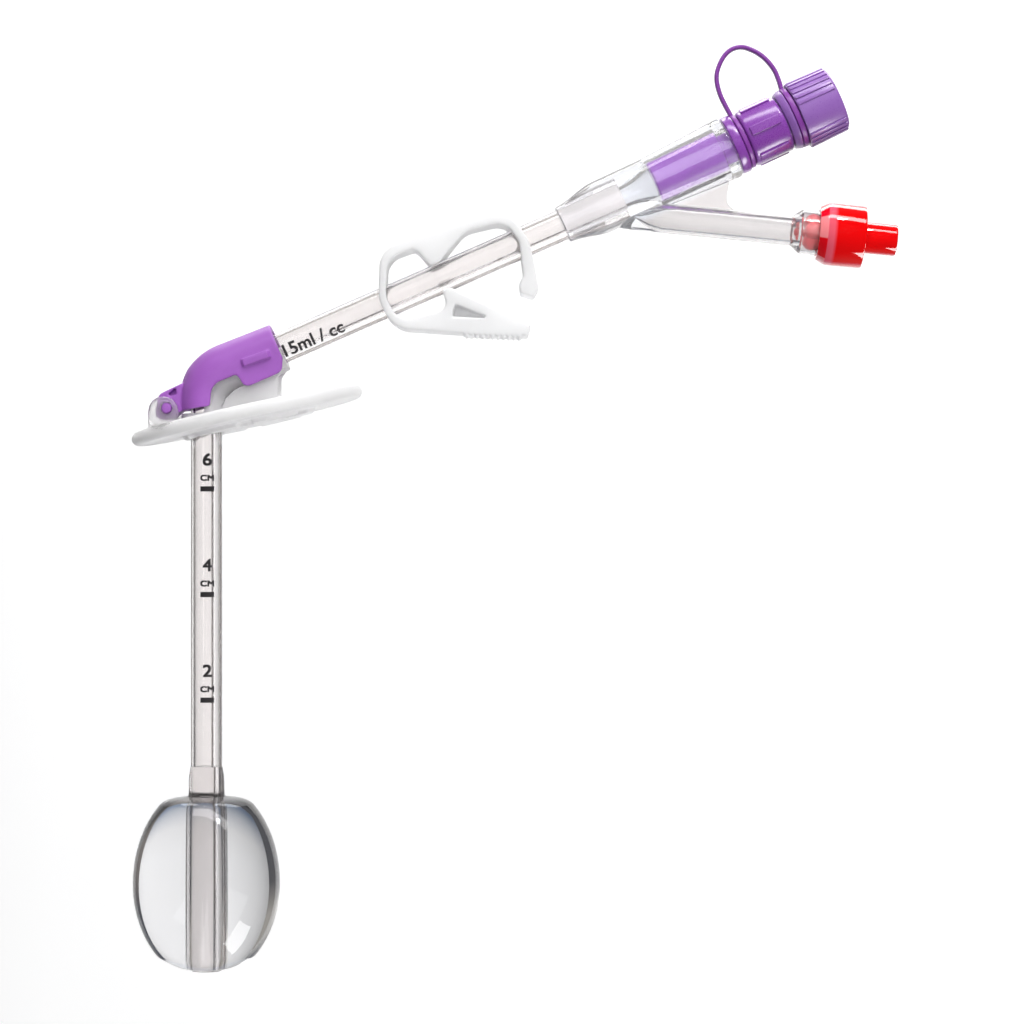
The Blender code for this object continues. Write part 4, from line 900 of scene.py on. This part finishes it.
def make_y_hub():
    """Clear body, branch, socket and web, hollowed by the port's bore and the branch's duct."""
    profile = [(0, 0), (3.35, 0), (3.6, 0.2)]
    for index in range(1, 13):
        share = index / 12
        profile.append((3.6 + 1.5 * share * share * (3 - 2 * share), 8.5 * share))
    profile += [(5.1, 18.3), (5.98, 34.1), (6.0, 35.0), (5.9, 35.2), (5.7, HUB_END), (0, HUB_END)]
    hub = loose(spun(profile, 96, closed=False))
    hub.data.transform(HUB @ AXLE)
    flare = BRANCH_LENGTH + 1.6
    arm = [(0, 0), (2.44, 0), (BRANCH_RADIUS, 8.0), (BRANCH_RADIUS, BRANCH_LENGTH)]
    arm += [(3.9, flare - 0.3), (4.25, flare + 0.2), (4.25, SOCKET_END - 0.1)]
    arm += [(4.15, SOCKET_END), (0, SOCKET_END)]
    branch = spun(arm, 80, closed=False)
    branch.transform(BRANCH @ AXLE)
    worked(hub, branch, "UNION")
    worked(hub, web(), "UNION")
    bore = [(0, 12.5), (1.55, 12.5), (1.6, 13.5), (1.75, 15.0), (2.1, 16.6), (2.6, 17.9)]
    bore += [(3.0, 18.9), (4.02, 18.9), (4.02, 33.4), (3.2, 33.4), (3.2, 37), (0, 37)]
    duct = [(0, 8.0), (0.3, 8.0), (0.8, 9.2), (1.5, 11.0), (2.0, 13.5), (2.0, flare), (3.7, flare)]
    duct += [(3.7, 46), (0, 46)]
    for profile, place in ((bore, HUB), (duct, BRANCH)):
        channel = spun(profile, 90, closed=False)
        for face in channel.faces:
            near = face.calc_center_median().z
            face.material_index = int(near < 18.8 or (profile is duct and near < flare - 0.5))
        channel.transform(place @ AXLE)
        worked(hub, channel, "DIFFERENCE")
    finished(hub, "y_hub_skin", FLAT, ["hub", "duct"], "tube", ["y_hub"], 32)
    hub.visible_shadow = False


def web():
    """The thin web in the fork, with a hollow end between the hub and the branch."""
    upper = HUB @ Vector((32.9, -5.2, 0))
    lower = BRANCH @ Vector((30.0, 2.07, 0))
    inner = HUB @ Vector((18.3, -4.3, 0))
    middle = BRANCH @ Vector((15.0, 2.07, 0))
    corners = [
        (inner.x, inner.y, 0),
        (middle.x, middle.y, 0),
        (lower.x, lower.y, 0),
        (upper.x - 1.0, lower.y + 1.6, 2.4),
        (upper.x, upper.y, 0),
    ]
    return plate(corners, -0.8, 0.8)


def make_port_insert():
    """Barrel, flange and padded collar of the feeding port."""
    profile = [(1.45, 19.2), (3.6, 19.2), (3.9, 19.5), (3.9, 33.2), (3.0, 33.2)]
    profile += [(3.0, FLANGE_START), (5.5, FLANGE_START), (5.7, 35.75), (5.75, 36.0)]
    profile += [(5.75, 37.1), (5.6, 37.35), (5.4, FLANGE_END), (4.3, FLANGE_END)]
    profile += [(4.3, COLLAR_START), (4.9, COLLAR_START), (5.2, 38.7), (5.42, 38.9)]
    profile += [(5.5, 39.2), (5.5, 45.9), (5.42, 46.2), (5.25, COLLAR_END)]
    profile += [(4.7, COLLAR_END), (4.7, 40.1), (2.8, 40.1), (2.65, 45.9), (1.45, 45.9)]
    shapes = [loose(spun(profile, 120))]
    pad_section = [(5.3, 39.5), (5.86, 39.5), (5.86, 45.5), (5.3, 45.5)]
    for index in range(COLLAR_PADS):
        pad = spun(pad_section, 8, sector=math.radians(18))
        eased(pad, 0.16, 3)
        pad.transform(Matrix.Rotation(math.radians(255 + 60 * index), 4, "Z"))
        shapes.append(loose(pad))
    insert = gathered(shapes)
    # Faces of the barrel inside the hub take the darker copy of the purple: painted shade
    for face in insert.data.polygons:
        face.material_index = int(face.center.z < FLANGE_START)
    finished(
        insert, "port_insert_skin", HUB @ AXLE, ["port", "barrel_painted_shade"], "tube", ["port_insert"],
        35,
    )


def make_port_cap():
    """Screw cap with its skirt, flange, head and three groups of ribs."""
    profile = [(0, 46.2), (3.1, 46.2), (3.1, 40.4), (4.4, 40.4), (4.4, CAP_START)]
    profile += [(5.4, CAP_START), (5.55, 46.8), (5.93, 47.75), (5.97, CAP_FLANGE_END - 0.1)]
    profile += [(5.9, CAP_FLANGE_END), (4.7, CAP_FLANGE_END), (4.7, CAP_HEAD_START)]
    profile += [(6.2, CAP_HEAD_START), (6.38, 49.65), (6.4, 50.0), (6.22, 57.1)]
    profile += [(6.1, 57.45), (5.8, CAP_HEAD_END), (0, CAP_HEAD_END)]
    shapes = [loose(spun(profile, 120, closed=False))]
    rib_section = [(6.0, 49.7), (6.66, 49.7), (6.48, 57.3), (6.0, 57.3)]
    for group in range(RIB_GROUPS):
        for index in range(RIBS_IN_GROUP):
            rib = spun(rib_section, 4, sector=math.radians(6.4))
            eased(rib, 0.1, 2)
            turn = math.radians(194.8 + 120 * group + RIB_PITCH * index)
            rib.transform(Matrix.Rotation(turn, 4, "Z"))
            shapes.append(loose(rib))
    cap = gathered(shapes)
    finished(
        cap, "port_cap_skin", HUB @ AXLE, ["cap"], "cap", ["port_cap"],
        35,
    )


def smooth_curve(points, steps):
    """Points along a smooth curve that passes through every given point."""
    padded = [2 * points[0] - points[1]] + points + [2 * points[-1] - points[-2]]
    curve = []
    for index in range(1, len(padded) - 2):
        before, start, end, after = padded[index - 1:index + 3]
        for step in range(steps):
            t = step / steps
            bend = 2 * before - 5 * start + 4 * end - after
            twist = 3 * start - before - 3 * end + after
            curve.append(0.5 * (2 * start + (end - before) * t + bend * t ** 2 + twist * t ** 3))
    return curve + [points[-1]]


def make_tether():
    """Two rings joined by a bowed strap; it is drawn where it lies and doesn't follow the cap as it
    lifts.
    """
    shapes = []
    for inner, wall, start, width in ((4.6, 0.8, 37.55, 0.9), (5.0, 1.0, 48.25, 1.1)):
        outer, end = inner + wall, start + width
        ring = spun([(inner, start), (outer, start), (outer, end), (inner, end)])
        eased(ring, 0.22, 3)
        ring.transform(HUB @ AXLE)
        shapes.append(loose(ring))
    foot = HUB @ Vector((38.0, 5.0, 0))
    head = HUB @ Vector((48.8, 5.4, 0))
    bow = [(98.19, 150.82), (97.52, 154.35), (98.51, 157.45), (100.18, 159.32), (102.36, 159.88)]
    bow += [(104.73, 159.11), (106.80, 157.66), (108.48, 155.59), (109.40, 153.50)]
    route = [foot, *(Vector((u, v, 0)) for u, v in bow), head]
    curve = smooth_curve(route, 8)
    places = []
    for index, point in enumerate(curve):
        heading = curve[min(index + 1, len(curve) - 1)] - curve[max(index - 1, 0)]
        places.append(turned(point, math.atan2(heading.y, heading.x)))
    section = []
    for x, y in circle(1.0, 24):
        flat = math.copysign(abs(x) ** 0.6, x)
        wide = math.copysign(abs(y) ** 0.6, y)
        section.append((0.43 * flat, 0.85 * wide))
    shapes.append(loose(swept([section], places)))
    tether = gathered(shapes)
    tether.data.transform(LYING)
    dressed(tether, "tether_skin", ["strap"], 40)
    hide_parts("tether")
    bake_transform(tether)


# Balloon valve


def make_valve():
    """Red housing with its inlet, hollow for the seal, the plunger and the spring."""
    profile = [(2.65, 44.0), (4.4, 44.0), (4.4, VALVE_START), (5.0, VALVE_START), (5.1, 43.3)]
    profile += [(5.72, 44.45), (5.88, 44.8), (5.98, 45.5), (6.0, 46.2), (5.96, 51.6)]
    profile += [(5.86, 51.88), (5.6, VALVE_SHOULDER), (3.0, VALVE_SHOULDER), (3.0, 57.9)]
    profile += [(2.9, 58.2), (2.7, VALVE_END), (2.15, VALVE_END), (2.0, 50.9)]
    profile += [(3.3, 50.9), (3.3, 45.2), (2.65, 45.2)]
    housing = loose(spun(profile, 112))
    finished(
        housing, "valve_housing_skin", BRANCH @ AXLE, ["red"], "tube", ["valve_housing"],
        32,
    )


def make_retainer():
    """Six round lobes about a stem, as the pink piece shows in the clear socket."""
    retainer = loose(spun([(0.8, 41.0), (2.35, 41.0), (2.35, 45.0), (0.8, 45.0)], 48))
    for index in range(RETAINER_LOBES):
        lobe = bmesh.new()
        bmesh.ops.create_uvsphere(lobe, u_segments=28, v_segments=20, radius=1.0)
        bmesh.ops.scale(lobe, vec=(1.55, 1.75, 1.7), verts=lobe.verts)
        turn = Matrix.Rotation(2 * math.pi * (index + 0.47) / RETAINER_LOBES, 4, "Z")
        lobe.transform(turn @ Matrix.Translation((2.03, 0, 42.2)))
        worked(retainer, lobe, "UNION")
    finished(
        retainer, "valve_retainer_skin", BRANCH @ AXLE, ["pink"], "tube",
        ["valve_retainer"], 30,
    )


def make_spring():
    """The valve's spring, which shortens as the plunger is pressed; here the coil is drawn at its
    rest length.
    """
    builder = bmesh.new()
    builder.from_mesh(frame["nodes"]["valve_spring"].data)
    bmesh.ops.remove_doubles(builder, verts=builder.verts, dist=1e-7)
    axis = BRANCH.to_3x3() @ Vector((1, 0, 0))
    axis = (LYING.to_3x3() @ axis).normalized()
    reaches = [axis.dot(point.co) for point in builder.verts]
    seat = sum((point.co for point in builder.verts), Vector()) / len(builder.verts)
    seat += axis * (min(reaches) - axis.dot(seat))
    spring = loose(builder)
    dressed(spring, "valve_spring_coil", ["steel"])
    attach(spring, "tube")
    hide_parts("valve_spring")
    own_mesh(spring)


def dress_inner_parts():
    """The plunger and the seal keep their solids' meshes and only change their surface."""
    for node, name in (("valve_plunger", "white"), ("valve_seal", "rubber")):
        part = frame["nodes"][node]
        part.data.materials.clear()
        part.data.materials.append(SURFACES[name])


# Printed marks


def lettering(words, height, bold):
    """Flat letters as a mesh, centred on the origin."""
    curve = bpy.data.curves.new("letters", "FONT")
    curve.body = words
    curve.size = height / 0.73
    curve.offset = bold
    curve.align_x = "CENTER"
    curve.align_y = "CENTER"
    curve.resolution_u = 6
    made = bpy.data.objects.new("letters", curve)
    bpy.context.scene.collection.objects.link(made)
    graph = bpy.context.evaluated_depsgraph_get()
    mesh = bpy.data.meshes.new_from_object(made.evaluated_get(graph))
    bpy.data.objects.remove(made, do_unlink=True)
    builder = bmesh.new()
    builder.from_mesh(mesh)
    return builder


def wrapped(builder, place, width, centre, layer=0):
    """Stretches flat letters to a width, cuts them in strips and bends them round the tube."""
    low = min(point.co.x for point in builder.verts)
    high = max(point.co.x for point in builder.verts)
    bottom = min(point.co.y for point in builder.verts)
    top = max(point.co.y for point in builder.verts)
    shift = Matrix.Translation((-(low + high) / 2, -(bottom + top) / 2, 0))
    builder.transform(Matrix.Diagonal((width / (high - low), 1, 1, 1)) @ shift)
    builder.transform(centre)
    for cut in range(-9, 10):
        whole = [*builder.verts, *builder.edges, *builder.faces]
        bmesh.ops.bisect_plane(
            builder, geom=whole, plane_co=(0, INK_STRIP * cut, 0), plane_no=(0, 1, 0),
        )
    bmesh.ops.triangulate(builder, faces=builder.faces)
    radius = TUBE_RADIUS + INK_LIFT + INK_LAYER * layer
    for point in builder.verts:
        turn = point.co.y / radius
        point.co = Vector((point.co.x, radius * math.sin(turn), radius * math.cos(turn)))
    builder.transform(place)
    return loose(builder)


def make_marks():
    """Centimetre numbers and bars up the shaft, and the balloon's filling along the slanted run."""
    shapes = []
    upright = Matrix.Rotation(-math.pi / 2, 4, "Z")
    shaft = turned(Vector((0, 0, 0)), math.pi / 2)
    prints = ((1, 1), (1, -1), (-1, 1), (-1, -1))
    for number, v in (("2", 40.8), ("4", 60.9), ("6", 81.0)):
        # Words, height, width, place from the number's middle, and spread of the four prints
        lines = ((number, 2.35, 1.6, 0.0, 0.09), ("CM", 1.1, 2.6, -3.5, 0.08))
        for words, height, width, rise, bold in lines:
            for layer, (right, up) in enumerate(prints):
                spot = (v + rise + up * bold, MARKS_ASIDE - right * bold, 0)
                letters = lettering(words, height, 0.0)
                centre = Matrix.Translation(spot) @ upright
                shapes.append(wrapped(letters, shaft, width, centre, layer))
        bar = bmesh.new()
        bmesh.ops.create_grid(bar, x_segments=12, y_segments=3, size=0.5)
        bmesh.ops.scale(bar, vec=(2.7, 1.0, 1.0), verts=bar.verts)
        centre = Matrix.Translation((v - 5.6, MARKS_ASIDE, 0)) @ upright
        shapes.append(wrapped(bar, shaft, 2.71, centre))
    filling = Matrix.Translation((22.1, -1.0, 0))
    shapes.append(wrapped(lettering("15ml / cc", 2.6, 0.09), SLANTED, 12.4, filling))
    marks = gathered(shapes)
    finished(marks, "printed_marks", FLAT, ["ink"], "tube", [])


# Studio


def make_floor():
    """White paper well below the tube, glowing with painted light that fades towards the foot and the
    left, and painted darker and bluer beyond the foot of the picture as painted shade.
    """
    builder = bmesh.new()
    bmesh.ops.create_grid(builder, x_segments=1, y_segments=1, size=0.5)
    along = LYING.to_3x3().normalized().col[0]
    middle = LYING @ Vector((-122, 90, 0))
    place = Matrix.Translation((middle.x, middle.y, -PAPER_DEPTH))
    place = place @ Matrix.Rotation(math.atan2(along.y, along.x), 4, "Z")
    builder.transform(place @ Matrix.Diagonal((*PAPER_SIZE, 1, 1)))
    mesh = bpy.data.meshes.new("paper")
    builder.to_mesh(mesh)
    builder.free()
    paper = bpy.data.objects.new("paper", mesh)
    bpy.context.scene.collection.objects.link(paper)
    made = surface("paper_painted_light_and_shade", (0.93, 0.93, 0.93), 0.9, Specular_IOR_Level=0.1)
    # Painted light: the paper glows white, though it is no lamp
    made.node_tree.nodes["Principled BSDF"].inputs["Emission Color"].default_value = (1, 1, 1, 1)
    parts = parted(made, grounded(made, FLAT))
    # Painted shade: the paper darker and bluer beyond the foot of the picture
    foot = ranged(made, parts["Y"], 1.0, 0.0, -370.0, -170.0)
    feed(made, "Base Color", blended(made, foot, (0.93, 0.93, 0.93), (0.34, 0.42, 0.56)))
    # Painted light: the glow fades out towards the foot and the left of the paper
    painted_glow = figured(
        made, "MULTIPLY", ranged(made, parts["Y"], 0.0, 1.0, -300.0, -100.0),
        ranged(made, parts["X"], 0.0, 1.0, -400.0, -100.0),
    )
    feed(made, "Emission Strength", figured(made, "MULTIPLY", painted_glow, PAPER_PAINTED_GLOW))
    mesh.materials.append(made)


def softbox(name, direction, distance, size, watts, target=(55, 80, 0)):
    """A rectangular lamp at a direction in the flat frame, turned to the tube."""
    lamp = bpy.data.lights.new(name, "AREA")
    lamp.shape = "RECTANGLE"
    lamp.size, lamp.size_y = size
    lamp.energy = watts
    made = bpy.data.objects.new(name, lamp)
    bpy.context.scene.collection.objects.link(made)
    turn = LYING.to_3x3().normalized()
    aim = (turn @ Vector(direction)).normalized()
    made.location = LYING @ Vector(target) + aim * distance
    made.rotation_mode = "QUATERNION"
    made.rotation_quaternion = aim.to_track_quat("Z", "Y")
    return made


def light_studio():
    """Soft light from overhead and long banks that streak the glossy pieces, not the clear ones."""
    overhead = softbox("overhead", (0.0, 0.35, 1.0), 1.1, (0.9, 0.9), 8.5)
    overhead.visible_glossy = False
    banks = [
        softbox("upper_bank", (0.09, 0.91, 0.40), 0.7, (0.8, 0.17), 3.6),
        softbox("low_bank", (0.08, 0.83, -0.56), 0.78, (0.9, 0.24), 3.6),
        softbox("near_bank", (0.55, -0.79, 0.15), 0.7, (0.34, 0.32), 3.4),
        softbox("spark", (0.37, 0.845, 0.42), 0.6, (0.055, 0.055), 0.55, (0, 12, 11)),
    ]
    for bank in banks:
        bank.visible_transmission = False


def make_surroundings():
    """A dim room round the paper: grey sides, beige towards the upper left, and dark overhead."""
    world = bpy.data.worlds.new("studio")
    bpy.context.scene.world = world
    world.use_nodes = True
    axes = LYING.to_3x3().normalized().transposed()
    where = world.node_tree.nodes.new("ShaderNodeTexCoord")
    shares = []
    for axis, reach in zip(axes, (0.12, 0.12, 0.25)):
        along = world.node_tree.nodes.new("ShaderNodeVectorMath")
        along.operation = "DOT_PRODUCT"
        world.node_tree.links.new(where.outputs["Generated"], along.inputs[0])
        along.inputs[1].default_value = axis
        shares.append(ranged(world, along.outputs["Value"], 0.0, 1.0, -reach, reach))
    lower = blended(world, shares[0], (0.11, 0.11, 0.12), (0.23, 0.21, 0.20))
    upper = blended(world, shares[0], (0.44, 0.42, 0.39), (0.11, 0.115, 0.13))
    sides = blended(world, shares[1], lower, upper)
    room = blended(world, shares[2], sides, (0.06, 0.06, 0.063))
    world.node_tree.links.new(room, world.node_tree.nodes["Background"].inputs["Color"])


def make_camera():
    """A long lens straight above the tube, as in the photograph."""
    camera = bpy.data.cameras.new("camera")
    camera.lens = 100
    camera.sensor_width = 36
    made = bpy.data.objects.new("camera", camera)
    bpy.context.scene.collection.objects.link(made)
    made.location = LYING @ Vector(CAMERA_PLACE)
    made.rotation_mode = "QUATERNION"
    made.rotation_quaternion = LYING.to_3x3().normalized().to_quaternion()
    bpy.context.scene.camera = made


make_camera()
make_floor()
light_studio()
make_surroundings()
make_feeding_tube()
make_balloon()
make_bolster()
make_elbow_cover()
make_pinch_clamp()
make_y_hub()
make_port_insert()
make_port_cap()
make_tether()
make_valve()
make_retainer()
make_spring()
dress_inner_parts()
make_marks()
bpy.context.scene.view_settings.view_transform = "Standard"
